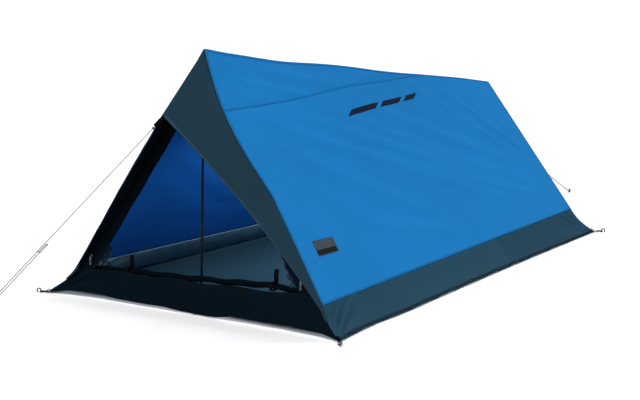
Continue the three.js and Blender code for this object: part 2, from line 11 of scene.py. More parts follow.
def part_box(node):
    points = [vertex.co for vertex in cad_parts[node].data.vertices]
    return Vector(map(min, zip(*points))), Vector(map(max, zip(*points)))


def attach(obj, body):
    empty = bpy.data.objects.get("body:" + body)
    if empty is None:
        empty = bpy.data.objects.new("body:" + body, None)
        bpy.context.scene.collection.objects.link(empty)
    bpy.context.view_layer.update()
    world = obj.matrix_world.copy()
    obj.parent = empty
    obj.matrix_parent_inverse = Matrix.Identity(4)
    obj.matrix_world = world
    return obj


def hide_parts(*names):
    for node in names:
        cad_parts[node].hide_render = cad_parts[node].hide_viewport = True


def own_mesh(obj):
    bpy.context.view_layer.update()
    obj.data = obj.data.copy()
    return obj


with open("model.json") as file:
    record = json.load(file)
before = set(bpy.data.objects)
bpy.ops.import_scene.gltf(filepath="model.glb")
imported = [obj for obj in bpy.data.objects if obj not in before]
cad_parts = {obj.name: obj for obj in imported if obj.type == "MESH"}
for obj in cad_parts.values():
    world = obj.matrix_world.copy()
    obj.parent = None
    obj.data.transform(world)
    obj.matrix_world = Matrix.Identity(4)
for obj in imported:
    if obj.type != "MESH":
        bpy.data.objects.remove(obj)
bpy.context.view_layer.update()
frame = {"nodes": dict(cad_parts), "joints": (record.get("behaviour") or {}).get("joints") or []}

SIDES = {"left": -1, "right": 1}
CLOTH = 0.0008
WEBBING = 0.0016


# ---- Camera ----
CAMERA_PLACE = (3.6288, -6.2947, 1.5312)
CAMERA_HEADING = 0.5446
CAMERA_TILT = 0.175
CAMERA_ROLL = 0.0227
CAMERA_LENS_MM = 103.38


def add_object(name, data):
    obj = bpy.data.objects.new(name, data)
    bpy.context.scene.collection.objects.link(obj)
    return obj


def add_camera():
    data = bpy.data.cameras.new("camera")
    data.lens = CAMERA_LENS_MM
    camera = add_object("camera", data)
    turn = Matrix.Rotation(CAMERA_HEADING, 4, "Z")
    turn @= Matrix.Rotation(math.pi / 2 - CAMERA_TILT, 4, "X")
    turn @= Matrix.Rotation(CAMERA_ROLL, 4, "Z")
    camera.matrix_world = Matrix.Translation(CAMERA_PLACE) @ turn
    bpy.context.scene.camera = camera


add_camera()


# ---- Places read from the frame ----
def vertices(node):
    return np.array([v.co for v in frame["nodes"][node].data.vertices], float)


def joint_axis(node):
    return unit(next(j for j in frame["joints"] if j["child"] == node)["axis"])


def extreme(node, direction):
    """The vertex of a CAD node that lies farthest in a direction."""
    points = vertices(node)
    return points[np.argmax(points @ np.array(direction, float))]


def middle(node):
    low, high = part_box(node)
    return np.array((low + high) / 2)


def clamp(x):
    """x, but never under 0 or over 1."""
    return np.clip(x, 0, 1)


def bow(u):
    return 4 * u * (1 - u)


def hump(u, centre, width):
    return np.exp(-(((u - centre) / width) ** 2))


def grid(u, v):
    return np.broadcast_arrays(np.asarray(u, float), np.asarray(v, float))


def unit(v):
    v = np.asarray(v, float)
    return v / np.maximum(np.linalg.norm(v, axis=-1, keepdims=True), 1e-12)


def lerp(a, b, t):
    return a + (b - a) * t


def on_axis(point):
    return np.array((0.0, point[1], point[2]))


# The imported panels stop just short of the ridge, so the sewn ridge lies a little above their edges.
RIDGE_RISE = np.array((0, 0, 0.003))
FRONT_PEAK = on_axis(extreme("roof_right", (-1, -1, 1))) + RIDGE_RISE
REAR_PEAK = on_axis(extreme("roof_right", (-1, 1, 1))) + RIDGE_RISE
RIDGE_WAY = unit(REAR_PEAK - FRONT_PEAK)
HOOD_TIP = on_axis(extreme("hood_right", (0, -1, 0)))
SEAM_FRONT = {s: extreme(f"roof_{n}", (s, -1, -1)) for n, s in SIDES.items()}
SEAM_REAR = {s: extreme(f"roof_{n}", (s, 1, -1)) for n, s in SIDES.items()}
HEM_FRONT = {s: extreme(f"skirt_{n}", (s, -1, -1)) for n, s in SIDES.items()}
HEM_REAR = {s: extreme(f"skirt_{n}", (s, 1, -1)) for n, s in SIDES.items()}
HEM_FRONT[-1] = HEM_FRONT[-1] + np.array((-0.012, -0.005, 0))  # this corner is pulled out to its peg
HEM_DRAW = 0.014  # how far a side hem is drawn in half way between its pegs
EDGE_CURVE = 0.062  # how far the right wall's front edge bellies forward
EDGE_CURVE_FOOT = 0.58  # the share of the way down where that belly ends
EDGE_SLACK = 0.002  # how far the edge curves back below that
LEFT_EDGE_SLACK = 0.028  # how far the left wall's front edge curves back


# ---- Mesh makers ----
def make_object(name, verts, faces, materials, uvs=None):
    mesh = bpy.data.meshes.new(name)
    mesh.from_pydata([tuple(v) for v in verts], [], faces)
    mesh.polygons.foreach_set("use_smooth", [True] * len(mesh.polygons))
    if uvs is not None:
        layer = mesh.uv_layers.new(name="cloth")
        loops = np.zeros(len(mesh.loops), int)
        mesh.loops.foreach_get("vertex_index", loops)
        layer.data.foreach_set("uv", np.asarray(uvs, float)[loops].ravel())
    obj = add_object(name, mesh)
    for material in materials:
        mesh.materials.append(material)
    return obj


def recalculate(obj):
    """Turns the faces of a closed mesh outwards and marks its sharp edges."""
    made = bmesh.new()
    made.from_mesh(obj.data)
    bmesh.ops.recalc_face_normals(made, faces=made.faces)
    made.to_mesh(obj.data)
    made.free()
    obj.data.set_sharp_from_angle(angle=math.radians(40))
    return obj


def grid_uvs(rows):
    """Lengths along the cloth, in metres, averaged over the rows and over the columns."""
    across = np.linalg.norm(np.diff(rows, axis=0), axis=2).mean(1)
    along = np.linalg.norm(np.diff(rows, axis=1), axis=2).mean(0)
    v = np.concatenate([[0], np.cumsum(across)])
    u = np.concatenate([[0], np.cumsum(along)])
    return np.stack(np.meshgrid(u, v), axis=-1).reshape(-1, 2)


TENT_MIDDLE = np.array((0.0, 0.0, 0.2))


def cloth(name, rows, outer, inner=None, thickness=CLOTH, upward=False):
    """A sheet of cloth over a grid of points. Its outer face looks away from the tent's middle, or up."""
    high, wide = rows.shape[:2]
    normals = np.cross(np.gradient(rows, axis=1), np.gradient(rows, axis=0))
    outward = np.array((0, 0, 1.0)) if upward else rows - TENT_MIDDLE
    flip = np.sum(normals * outward) < 0
    faces = []
    for i in range(high - 1):
        for j in range(wide - 1):
            k = i * wide + j
            quad = (k, k + 1, k + wide + 1, k + wide)
            faces.append(quad[::-1] if flip else quad)
    obj = make_object(name, rows.reshape(-1, 3), faces, [outer, inner or outer], grid_uvs(rows))
    solid = obj.modifiers.new("thickness", "SOLIDIFY")
    solid.thickness = thickness
    solid.offset = -1
    solid.material_offset = 1
    return obj


def sweep(name, centres, across, upward, section, material, closed=False, scales=None):
    """A solid of one outline along a line. The outline's points are (across, upward) offsets in metres."""
    centres = np.asarray(centres, float)
    count = len(centres)
    across = np.broadcast_to(np.asarray(across, float), centres.shape)
    upward = np.broadcast_to(np.asarray(upward, float), centres.shape)
    section = np.asarray(section, float)
    ring = len(section)
    scales = np.ones(count) if scales is None else np.asarray(scales, float)
    verts, uvs = [], []
    lengths = np.concatenate([[0], np.cumsum(np.linalg.norm(np.diff(centres, axis=0), axis=1))])
    girth = np.concatenate([[0], np.cumsum(np.linalg.norm(np.diff(section, axis=0), axis=1))])
    for k in range(count):
        points = centres[k] + scales[k] * (section[:, :1] * across[k] + section[:, 1:] * upward[k])
        verts.extend(points)
        uvs.extend((lengths[k], g) for g in girth)
    faces = []
    for k in range(count if closed else count - 1):
        a, b = k * ring, ((k + 1) % count) * ring
        for j in range(ring):
            n = (j + 1) % ring
            faces.append((a + j, a + n, b + n, b + j))
    if not closed:
        faces.append(tuple(range(ring))[::-1])
        faces.append(tuple((count - 1) * ring + j for j in range(ring)))
    return recalculate(make_object(name, verts, faces, [material], uvs))


def circle(radius, sides=16):
    turn = np.arange(sides) / sides * 2 * math.pi
    return np.stack([radius * np.cos(turn), radius * np.sin(turn)], axis=1)


def flat_section(width, thickness):
    """A strap's outline: a thin rectangle with eased edges, lying on the line rather than round it."""
    w, t = width / 2, thickness
    e = min(0.3 * t, 0.0006)
    return [(-w, e), (-w + e, 0), (w - e, 0), (w, e), (w, t - e), (w - e, t), (-w + e, t), (-w, t - e)]


def tangents(points, closed=False):
    if closed:
        return unit(np.roll(points, -1, axis=0) - np.roll(points, 1, axis=0))
    return unit(np.gradient(np.asarray(points, float), axis=0))


def smooth_line(points, count):
    """A curve through a few points, evenly divided (Catmull-Rom)."""
    points = np.asarray(points, float)
    ends = np.vstack([2 * points[0] - points[1], points, 2 * points[-1] - points[-2]])
    fine = []
    for k in range(len(points) - 1):
        a, b, c, d = ends[k : k + 4]
        for t in np.linspace(0, 1, 24, endpoint=False):
            curve = 2 * b + (c - a) * t + (2 * a - 5 * b + 4 * c - d) * t**2
            fine.append((curve + (3 * b - a - 3 * c + d) * t**3) / 2)
    fine = np.array(fine + [points[-1]])
    lengths = np.concatenate([[0], np.cumsum(np.linalg.norm(np.diff(fine, axis=0), axis=1))])
    even = np.linspace(0, lengths[-1], count)
    return np.stack([np.interp(even, lengths, fine[:, k]) for k in range(3)], axis=1)


def tube(name, points, radius, material, sides=12, scales=None, closed=False):
    """A round bar along a line, its section carried without twist."""
    points = np.asarray(points, float)
    way = tangents(points, closed)
    start = np.cross(way[0], (0, 0, 1) if abs(way[0][2]) < 0.9 else (1, 0, 0))
    across = [unit(start)]
    for k in range(1, len(points)):
        across.append(unit(across[-1] - way[k] * (across[-1] @ way[k])))
    across = np.array(across)
    upward = np.cross(way, across)
    return sweep(name, points, across, upward, circle(radius, sides), material, closed, scales)


def lathe(name, centre, profile, material, sides=28):
    """A piece turned about a vertical axis from a closed outline of (radius, height)."""
    ring = len(profile)
    verts, uvs = [], []
    for k in range(sides):
        angle = 2 * math.pi * k / sides
        for r, z in profile:
            verts.append((centre[0] + r * math.cos(angle), centre[1] + r * math.sin(angle), z))
            uvs.append((r * angle, z))
    faces = []
    for k in range(sides):
        a, b = k * ring, ((k + 1) % sides) * ring
        for j in range(ring):
            n = (j + 1) % ring
            faces.append((a + j, b + j, b + n, a + n))
    made = make_object(name, verts, faces, [material], uvs)
    joined = bmesh.new()
    joined.from_mesh(made.data)
    bmesh.ops.remove_doubles(joined, verts=joined.verts, dist=1e-6)
    joined.to_mesh(made.data)
    joined.free()
    return recalculate(made)


def join(name, parts):
    """One object from several, with their materials."""
    for obj in bpy.context.selected_objects:
        obj.select_set(False)
    for obj in parts:
        obj.select_set(True)
    bpy.context.view_layer.objects.active = parts[0]
    bpy.ops.object.join()
    parts[0].name = name
    parts[0].data.name = name
    return parts[0]


def place_piece(obj, body, replaces=()):
    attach(obj, body)
    if replaces:
        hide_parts(*replaces)
    return obj


# ---- Materials ----
class Look:
    """A material and short ways to add and join its nodes."""

    def __init__(self, name, roughness, metallic=0.0, specular=0.5):
        self.material = bpy.data.materials.new(name)
        self.material.use_nodes = True
        self.tree = self.material.node_tree
        self.shader = self.tree.nodes["Principled BSDF"]
        self.shader.inputs["Roughness"].default_value = roughness
        self.shader.inputs["Metallic"].default_value = metallic
        self.shader.inputs["Specular IOR Level"].default_value = specular

    def node(self, kind, settings=None, **inputs):
        made = self.tree.nodes.new(kind)
        for key, value in (settings or {}).items():
            setattr(made, key, value)
        for key, value in inputs.items():
            self.feed(made.inputs[key.replace("_", " ")], value)
        return made

    def feed(self, socket, value):
        if isinstance(value, bpy.types.NodeSocket):
            self.tree.links.new(value, socket)
        else:
            socket.default_value = value

    def math(self, operation, a, b=None):
        made = self.node("ShaderNodeMath", {"operation": operation})
        self.feed(made.inputs[0], a)
        if b is not None:
            self.feed(made.inputs[1], b)
        return made.outputs[0]

    def place(self, kind="UV"):
        return self.node("ShaderNodeTexCoord").outputs[kind]

    def axes(self, vector):
        return self.node("ShaderNodeSeparateXYZ", Vector=vector).outputs

    def noise(self, vector, scale, detail=3.0, roughness=0.55):
        made = self.node("ShaderNodeTexNoise", Vector=vector, Scale=scale, Detail=detail)
        made.inputs["Roughness"].default_value = roughness
        return made.outputs["Fac"]

    def stretched(self, vector, scale):
        return self.node("ShaderNodeMapping", Vector=vector, Scale=scale).outputs[0]

    def ridges(self, distance, pitch):
        """A rounded ridge, 0 to 1, repeated every pitch metres along a distance."""
        turn = self.math("MULTIPLY", distance, 2 * math.pi / pitch)
        return self.half_up(self.math("SINE", turn))

    def half_up(self, wave):
        made = self.node("ShaderNodeMath", {"operation": "MULTIPLY_ADD"})
        self.feed(made.inputs[0], wave)
        made.inputs[1].default_value = 0.5
        made.inputs[2].default_value = 0.5
        return made.outputs[0]

    def ramp(self, factor, stops):
        made = self.node("ShaderNodeValToRGB", Fac=factor)
        elements = made.color_ramp.elements
        while len(elements) < len(stops):
            elements.new(0.5)
        for element, (position, colour) in zip(elements, stops):
            element.position = position
            element.color = (*colour, 1.0)
        return made.outputs[0]

    def mix(self, factor, a, b):
        made = self.node("ShaderNodeMix", {"data_type": "RGBA"})
        self.feed(made.inputs[0], factor)
        for socket, colour in ((made.inputs[6], a), (made.inputs[7], b)):
            self.feed(socket, colour if isinstance(colour, bpy.types.NodeSocket) else (*colour, 1.0))
        return made.outputs[2]

    def weave(self, axes, along, across):
        """Threads both ways: a ridge every so many metres along the cloth and across it."""
        return self.math("MAXIMUM", self.ridges(axes[0], along), self.ridges(axes[1], across))

    def spread(self, factor, low, high, start=0.0, end=1.0):
        """A roughness or other value between two limits, as a factor goes from start to end."""
        made = self.node("ShaderNodeMapRange")
        self.feed(made.inputs[0], factor)
        for socket, value in zip(made.inputs[1:5], (start, end, low, high)):
            socket.default_value = value
        return made.outputs[0]

    def bump(self, height, strength, distance, under=None):
        made = self.node("ShaderNodeBump", Height=height, Strength=strength, Distance=distance)
        if under is not None:
            self.feed(made.inputs["Normal"], under)
        return made.outputs[0]

    def finish(self, colour, normal=None, roughness=None):
        self.feed(self.shader.inputs["Base Color"], colour)
        if normal is not None:
            self.feed(self.shader.inputs["Normal"], normal)
        if roughness is not None:
            self.feed(self.shader.inputs["Roughness"], roughness)
        return self.material


def linear(red, green, blue):
    """Linear colour from 0-255 values as seen on a screen."""
    values = (red, green, blue)
    return tuple(c / 255 / 12.92 if c <= 10 else ((c / 255 + 0.055) / 1.055) ** 2.4 for c in values)


def shade(colour, amount):
    return tuple(min(c * amount, 1.0) for c in colour)


CLOTH_DEPTH = 0.84  # the cloth is a little darker than its swatch


def woven_cloth(name, colour, roughness=0.62, crinkle=0.0012, pitch=0.0011, dust=0.0, gloss=0.01):
    """Thin coated plain-weave cloth: threads with a faint painted highlight on their crowns, crinkles, a
    faint unevenness of dye and dust low down.
    """
    look = Look(name, roughness, specular=gloss)
    colour = shade(colour, CLOTH_DEPTH)
    uv = look.place("UV")
    position = look.place("Object")
    axes = look.axes(uv)
    threads = look.weave(axes, pitch, pitch * 0.86)
    patches = look.noise(position, 2.2, 4.0)
    streaks = look.noise(look.stretched(uv, (5.0, 90.0, 1.0)), 1.0, 3.0)
    base = look.ramp(patches, [(0.25, shade(colour, 0.9)), (0.75, shade(colour, 1.09))])
    base = look.mix(look.spread(streaks, 0.0, 0.3), base, shade(colour, 0.86))
    # the thread crowns are mixed towards a lighter shade of the colour: a small painted highlight
    base = look.mix(look.math("MULTIPLY", threads, 0.12), base, shade(colour, 1.35))
    if dust:
        low = look.spread(look.axes(position)[2], 0.0, 1.0, start=0.05, end=0.0)
        specks = look.math("MULTIPLY", low, look.noise(position, 38.0, 5.0))
        base = look.mix(look.math("MULTIPLY", specks, dust), base, linear(112, 106, 94))
    fine = look.noise(look.stretched(uv, (34.0, 52.0, 1.0)), 1.0, 4.0, 0.6)
    wide = look.noise(position, 9.0, 3.0)
    normal = look.bump(wide, 0.5, crinkle * 3)
    normal = look.bump(fine, 0.5, crinkle, normal)
    normal = look.bump(threads, 0.25, 0.00012, normal)
    return look.finish(base, normal, look.spread(patches, roughness - 0.06, roughness + 0.06))


def seam_cloth(name, colour, stitch, width):
    """A folded seam or hem: the cloth's own weave with a row of stitches near each edge."""
    look = Look(name, 0.66, specular=0.01)
    colour, stitch = shade(colour, CLOTH_DEPTH), shade(stitch, CLOTH_DEPTH)
    uv = look.place("UV")
    axes = look.axes(uv)
    threads = look.weave(axes, 0.0011, 0.001)
    base = look.ramp(look.noise(uv, 40.0), [(0.3, shade(colour, 0.86)), (0.7, shade(colour, 1.1))])
    dash = look.math("GREATER_THAN", look.ridges(axes[0], 0.0036), 0.42)
    rows = look.math("GREATER_THAN", look.ridges(axes[1], width / 3), 0.9)
    stitches = look.math("MULTIPLY", dash, rows)
    base = look.mix(stitches, base, stitch)
    pucker = look.noise(look.stretched(uv, (210.0, 60.0, 1.0)), 1.0, 2.0)
    normal = look.bump(pucker, 0.6, 0.0008)
    normal = look.bump(threads, 0.3, 0.00012, normal)
    normal = look.bump(stitches, 0.8, 0.0003, normal)
    return look.finish(base, normal, look.spread(pucker, 0.58, 0.74))


def webbing_look(name, colour):
    """Narrow woven strap: ribs across it and herringbone lines along it."""
    look = Look(name, 0.78, specular=0.03)
    axes = look.axes(look.place("UV"))
    zigzag = look.math("ABSOLUTE", look.math("SINE", look.math("MULTIPLY", axes[1], 900.0)))
    ribs = look.ridges(look.math("ADD", axes[0], zigzag), 0.0014)
    lines = look.ridges(axes[1], 0.0012)
    height = look.math("MULTIPLY", ribs, lines)
    # the ribs' crowns are painted lighter and the grooves between them darker: painted highlight and painted
    # shade
    base = look.ramp(height, [(0.1, shade(colour, 0.6)), (0.9, shade(colour, 1.7))])
    return look.finish(base, look.bump(height, 0.7, 0.0003), look.spread(height, 0.7, 0.88))


def net_look(name, colour, opening=0.0017, solid=0.35):
    """Insect net: fine threads round small openings, which let what is behind show through."""
    look = Look(name, 0.8, specular=0.01)
    axes = look.axes(look.place("UV"))
    threads = look.weave(axes, opening, opening)
    line = look.math("GREATER_THAN", threads, 0.86)
    # the threads are painted lighter and the openings between them darker: painted highlight on the threads
    # and painted shade in the openings
    base = look.ramp(threads, [(0.4, shade(colour, 0.7)), (1.0, shade(colour, 1.4))])
    if solid < 1:
        look.feed(look.shader.inputs["Alpha"], look.spread(line, solid, 1.0))
    crumple = look.noise(look.place("Object"), 60.0, 4.0)
    normal = look.bump(crumple, 0.7, 0.002)
    return look.finish(base, look.bump(threads, 0.6, 0.0002, normal), look.spread(crumple, 0.7, 0.9))


def hard_look(name, colour, roughness, metallic=0.0, grain=180.0, depth=0.00006, wear=0.15, coat=0.0):
    """Plastic, glass fibre or metal: fine grain, tone that drifts a little and rubbed high spots."""
    look = Look(name, roughness, metallic, specular=0.15)
    position = look.place("Object")
    drift = look.noise(position, 14.0, 4.0)
    fine = look.noise(position, grain, 5.0, 0.65)
    base = look.ramp(drift, [(0.3, shade(colour, 0.84)), (0.7, shade(colour, 1.14))])
    scuffs = look.math("MULTIPLY", look.math("GREATER_THAN", fine, 0.62), wear)
    base = look.mix(scuffs, base, shade(colour, 1.6))
    look.shader.inputs["Coat Weight"].default_value = coat
    look.shader.inputs["Coat Roughness"].default_value = 0.15
    normal = look.bump(fine, 0.5, depth)
    return look.finish(base, normal, look.spread(fine, roughness - 0.08, roughness + 0.12))


def fibre_look(name, colour):
    """Pultruded glass-fibre pole: long fibres under a clear skin."""
    look = Look(name, 0.35, specular=0.06)
    position = look.place("Object")
    fibres = look.noise(look.stretched(position, (900.0, 900.0, 14.0)), 1.0, 3.0)
    base = look.ramp(fibres, [(0.3, shade(colour, 0.7)), (0.75, shade(colour, 1.25))])
    look.shader.inputs["Coat Weight"].default_value = 0.02
    look.shader.inputs["Coat Roughness"].default_value = 0.3
    return look.finish(base, look.bump(fibres, 0.4, 0.00008), look.spread(fibres, 0.3, 0.45))


def brushed_look(name, colour, roughness):
    """Drawn or turned metal with fine lines along it and dulled patches."""
    look = Look(name, roughness, 1.0)
    position = look.place("Object")
    lines = look.noise(look.stretched(position, (240.0, 240.0, 30.0)), 1.0, 4.0)
    dull = look.noise(position, 30.0, 4.0)
    base = look.ramp(dull, [(0.3, shade(colour, 0.7)), (0.7, shade(colour, 1.1))])
    normal = look.bump(lines, 0.4, 0.00006)
    return look.finish(base, normal, look.spread(dull, roughness - 0.1, roughness + 0.15))


def braid_look(name, colour, fleck, pitch=0.0042):
    """Braided cord: slanting strands both ways round, with a tracer thread."""
    look = Look(name, 0.75)
    position = look.place("Object")
    axes = look.axes(position)
    along = look.math("ADD", axes[1], axes[2])
    one = look.ridges(look.math("ADD", along, look.math("MULTIPLY", axes[0], 1.8)), pitch)
    other = look.ridges(look.math("SUBTRACT", along, look.math("MULTIPLY", axes[0], 1.8)), pitch)
    height = look.math("MAXIMUM", one, other)
    # the strands' crowns are painted lighter and the grooves between strands darker: painted highlight and
    # painted shade
    base = look.ramp(height, [(0.35, shade(colour, 0.5)), (0.95, shade(colour, 1.15))])
    base = look.mix(look.math("GREATER_THAN", look.ridges(along, 0.017), 0.88), base, fleck)
    return look.finish(base, look.bump(height, 0.8, 0.0004), look.spread(height, 0.66, 0.84))


def label_look(name, width, height):
    """A plain woven label: a pale upper field over a dark band, with an edge of close stitches."""
    look = Look(name, 0.55, specular=0.05)
    uv = look.place("UV")
    axes = look.axes(uv)
    threads = look.weave(axes, 0.0012, 0.0009)
    field = look.ramp(look.noise(uv, 60.0), [(0.3, linear(44, 56, 64)), (0.7, linear(64, 76, 84))])
    lower = look.math("GREATER_THAN", axes[1], height * 0.62)
    base = look.mix(lower, field, linear(2, 3, 5))
    across = look.math("ABSOLUTE", look.math("SUBTRACT", axes[0], width / 2))
    down = look.math("ABSOLUTE", look.math("SUBTRACT", axes[1], height / 2))
    edge = look.math(
        "MAXIMUM",
        look.math("GREATER_THAN", across, width / 2 - 0.003),
        look.math("GREATER_THAN", down, height / 2 - 0.003),
    )
    base = look.mix(edge, base, linear(44, 62, 76))
    normal = look.bump(look.noise(uv, 26.0), 0.4, 0.001)
    return look.finish(base, look.bump(threads, 0.5, 0.0002, normal), look.spread(threads, 0.5, 0.66))


ROOF_BLUE = linear(27, 122, 191)
SKIRT_TEAL = linear(34, 68, 88)
HOOD_TEAL = linear(31, 54, 67)
SILL_BLACK = linear(7, 18, 26)

LOOKS = {
    "roof": woven_cloth("roof_cloth", ROOF_BLUE),
    "roof_inside": woven_cloth("roof_coating", linear(22, 92, 176), 0.5),
    "roof_seam": seam_cloth("roof_seam_cloth", shade(ROOF_BLUE, 0.88), linear(22, 70, 120), 0.009),
    "skirt": woven_cloth("skirt_cloth", SKIRT_TEAL, 0.66, dust=0.06),
    # the skirts' inner face is painted much lighter than their outer face: painted light standing in for
    # daylight that comes through the cloth
    "skirt_inside_painted_light": woven_cloth("skirt_coating_painted_light", linear(130, 170, 188), 0.55),
    "skirt_panel": woven_cloth("skirt_panel_cloth", linear(38, 73, 92), 0.66, dust=0.06),
    "skirt_seam": seam_cloth("skirt_seam_cloth", shade(SKIRT_TEAL, 0.7), linear(14, 22, 30), 0.009),
    "hood": woven_cloth("hood_cloth", HOOD_TEAL, 0.66),
    "hood_inside": woven_cloth("hood_coating", linear(9, 17, 25), 0.6, gloss=0.005),
    # the hem is given a lighter teal than the hood: a painted highlight along the free edge, on the front
    # hood and the vent hood alike
    "hood_hem_painted_highlight": seam_cloth("hood_hem_painted_highlight_cloth", linear(46, 72, 90), linear(20, 30, 40), 0.014),
    "sill": woven_cloth("sill_cloth", SILL_BLACK, 0.7, gloss=0.005),
    "sill_seam": seam_cloth("sill_seam_cloth", shade(SILL_BLACK, 0.8), linear(30, 36, 44), 0.010),
    "label": label_look("woven_label", 0.142, 0.057),
    "floor": woven_cloth("groundsheet_cloth", linear(40, 68, 84), 0.5, pitch=0.0024),
    "net": net_look("door_net", linear(3, 8, 12), solid=1.0),
    "vent_net": net_look("vent_net", linear(20, 26, 28), solid=0.45),
    "loose_net": net_look("loose_net", linear(34, 42, 58), solid=0.3),
    "webbing": webbing_look("strap_webbing", linear(5, 8, 11)),
    "zip_tape": webbing_look("zip_tape_cloth", linear(3, 6, 9)),
    "zip_teeth": hard_look("zip_coil", linear(4, 6, 9), 0.6),
    "plastic": hard_look("black_plastic", linear(20, 22, 25), 0.45),
    "runner": hard_look("runner_plastic", linear(158, 164, 164), 0.45, coat=0.1),
    "pole": fibre_look("maroon_fibre", linear(15, 4, 7)),
    "steel": brushed_look("zinc_steel", linear(96, 100, 104), 0.46),
    "ferrule": brushed_look("ferrule_metal", linear(32, 41, 48), 0.5),
    "cord": braid_look("guy_braid", linear(24, 26, 29), linear(60, 64, 68)),
    "shock": braid_look("shock_braid", linear(60, 62, 66), linear(170, 40, 40), 0.003),
    "print": woven_cloth("dark_print", linear(16, 28, 50), 0.5, crinkle=0.0006),
}


# ---- Guylines: cords first ----
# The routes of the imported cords: a straight run from the tent's loop, half a turn round the peg, then the
# strand that comes back to the runner. Each is straight because it is held taut.
CORD_RADIUS = 0.00125
PEG_HOOK_RADIUS = 0.007
STRAND_SPACING = 0.0104
CORD_GAP = 0.0004
KNOT_SETBACK = 0.0036
GUYS = {
    "front": {"start": (0, -1.3775, 0.693), "peg_y": -2.6565, "runner_at": 0.455, "travel": 0.5},
    "rear": {"start": (0, 1.2735, 0.367), "peg_y": 2.0945, "runner_at": 0.3, "travel": 0.4},
}


class GuyRoute:
    def __init__(self, start, peg_y, runner_at, travel):
        self.start = np.array(start, float)
        ground = np.array((0, peg_y, 0), float)
        self.down = unit(ground - self.start)
        self.side = np.array((1.0, 0.0, 0.0))
        self.radius = STRAND_SPACING / 2
        self.span = np.linalg.norm(ground - 2 * PEG_HOOK_RADIUS * self.down - self.start)
        self.runner_start = runner_at * self.span
        self.travel = travel

    def along(self, distance, x):
        return self.start + self.down * distance + self.side * x

    def main(self):
        straight = [self.along(self.span * k / 24, 0) for k in range(24)]
        angles = [math.pi * k / 12 for k in range(13)]
        r = self.radius
        return straight + [self.along(self.span + r * math.sin(a), r - r * math.cos(a)) for a in angles]

    def back(self):
        a = self.along(self.span - CORD_GAP, STRAND_SPACING)
        b = self.along(self.runner_start + CORD_GAP, STRAND_SPACING)
        return [lerp(a, b, k / 24) for k in range(25)]


def curve_cord(name, points, radius, material):
    data = bpy.data.curves.new(name, "CURVE")
    data.dimensions = "3D"
    data.bevel_depth = radius
    data.bevel_resolution = 3
    data.use_fill_caps = True
    spline = data.splines.new("POLY")
    spline.points.add(len(points) - 1)
    for point, place in zip(spline.points, points):
        point.co = (*place, 1.0)
    spline.use_smooth = True
    data.materials.append(material)
    return add_object(name, data)


def knot(name, centre, way, radius, thick, turns, material):
    """A stopper knot: a cord wound round itself, thickest in the middle."""
    way = unit(way)
    across = unit(np.cross(way, (0.3, 0.2, 1.0)))
    upward = np.cross(way, across)
    points = []
    count = 18 * turns
    for k in range(count + 1):
        t = k / count
        angle = 2 * math.pi * turns * t
        swell = radius * (0.62 + 0.38 * math.sin(math.pi * t))
        step = (t - 0.5) * 2 * radius * 0.62
        points.append(centre + way * step + swell * (across * math.cos(angle) + upward * math.sin(angle)))
    points = [lerp(centre, points[0], 0.2), *points, lerp(centre, points[-1], 0.2)]
    return tube(name, points, thick, material, 8)


def runner_plate(name, origin, side, down, material):
    """A slim runner with two bores, one for each strand, and a waist between its grip ribs."""
    length, width, depth, bore = 0.034, 0.019, 0.007, 0.0019
    normal = np.cross(down, side)
    outline = []
    for centre, start in ((width / 2 - depth / 2, -90), (-width / 2 + depth / 2, 90)):
        for k in range(9):
            angle = math.radians(start + 180 * k / 8)
            outline.append((centre + depth / 2 * math.cos(angle), depth / 2 * math.sin(angle)))
    ribs = [1 - 0.05 * math.sin(math.pi * k / 16) - (0.04 if k in (5, 8, 11) else 0) for k in range(17)]
    ribs[0] = ribs[-1] = 0.93
    centres = [origin + down * length * k / 16 for k in range(17)]
    plate = sweep(name, centres, side, normal, outline, material, scales=ribs)
    for k, x in enumerate((-STRAND_SPACING / 2, STRAND_SPACING / 2)):
        line = [origin + side * x + down * t for t in (-0.001, length + 0.001)]
        cutter = tube(f"{name}_bore_{k}", line, bore, material, 16)
        cut = plate.modifiers.new("bore", "BOOLEAN")
        cut.object = cutter
        cut.operation = "DIFFERENCE"
        cut.solver = "EXACT"
        bpy.context.view_layer.objects.active = plate
        bpy.ops.object.modifier_apply(modifier=cut.name)
        bpy.data.objects.remove(cutter)
    plate.data.set_sharp_from_angle(angle=math.radians(35))
    return plate


def add_guyline(name, facts):
    route = GuyRoute(**facts)
    main_points, back_points = route.main(), route.back()
    cord = curve_cord(f"guy_cord_{name}", main_points, CORD_RADIUS, LOOKS["cord"])
    place_piece(cord, "tent", [f"guyline_{name}"])
    eye = knot(f"eye_knot_{name}", route.along(0.012, 0), route.down, 0.0034, 0.0012, 4, LOOKS["cord"])
    place_piece(eye, "tent")
    back = tube(f"guy_return_{name}", back_points, CORD_RADIUS, LOOKS["cord"], 10)
    place_piece(back, "tent", [f"guyline_return_{name}"])
    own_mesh(back)
    origin = route.along(route.runner_start, route.radius)
    runner = runner_plate(f"runner_body_{name}", origin, route.side, route.down, LOOKS["runner"])
    place_piece(runner, f"runner_{name}", [f"runner_{name}"])
    stop_place = route.along(route.runner_start - KNOT_SETBACK, STRAND_SPACING)
    stop = knot(f"stopper_{name}", stop_place, route.down, 0.0025, 0.0011, 3, LOOKS["webbing"])
    place_piece(stop, f"runner_{name}", [f"runner_knot_{name}"])


for guy_name, guy_facts in GUYS.items():
    add_guyline(guy_name, guy_facts)


# ---- Cloth surfaces ----
def ridge_line(u):
    """The ridge sags a few millimetres behind its front pole and less further back."""
    u = np.asarray(u, float)[..., None]
    sag = 0.009 * hump(u, 0.22, 0.11) + 0.004 * hump(u, 0.58, 0.1) - 0.004 * hump(u, 0.88, 0.12)
    sag = sag - 0.005 * hump(u, 0, 0.04)
    return lerp(FRONT_PEAK, REAR_PEAK, u) - np.array((0, 0, 1.0)) * sag


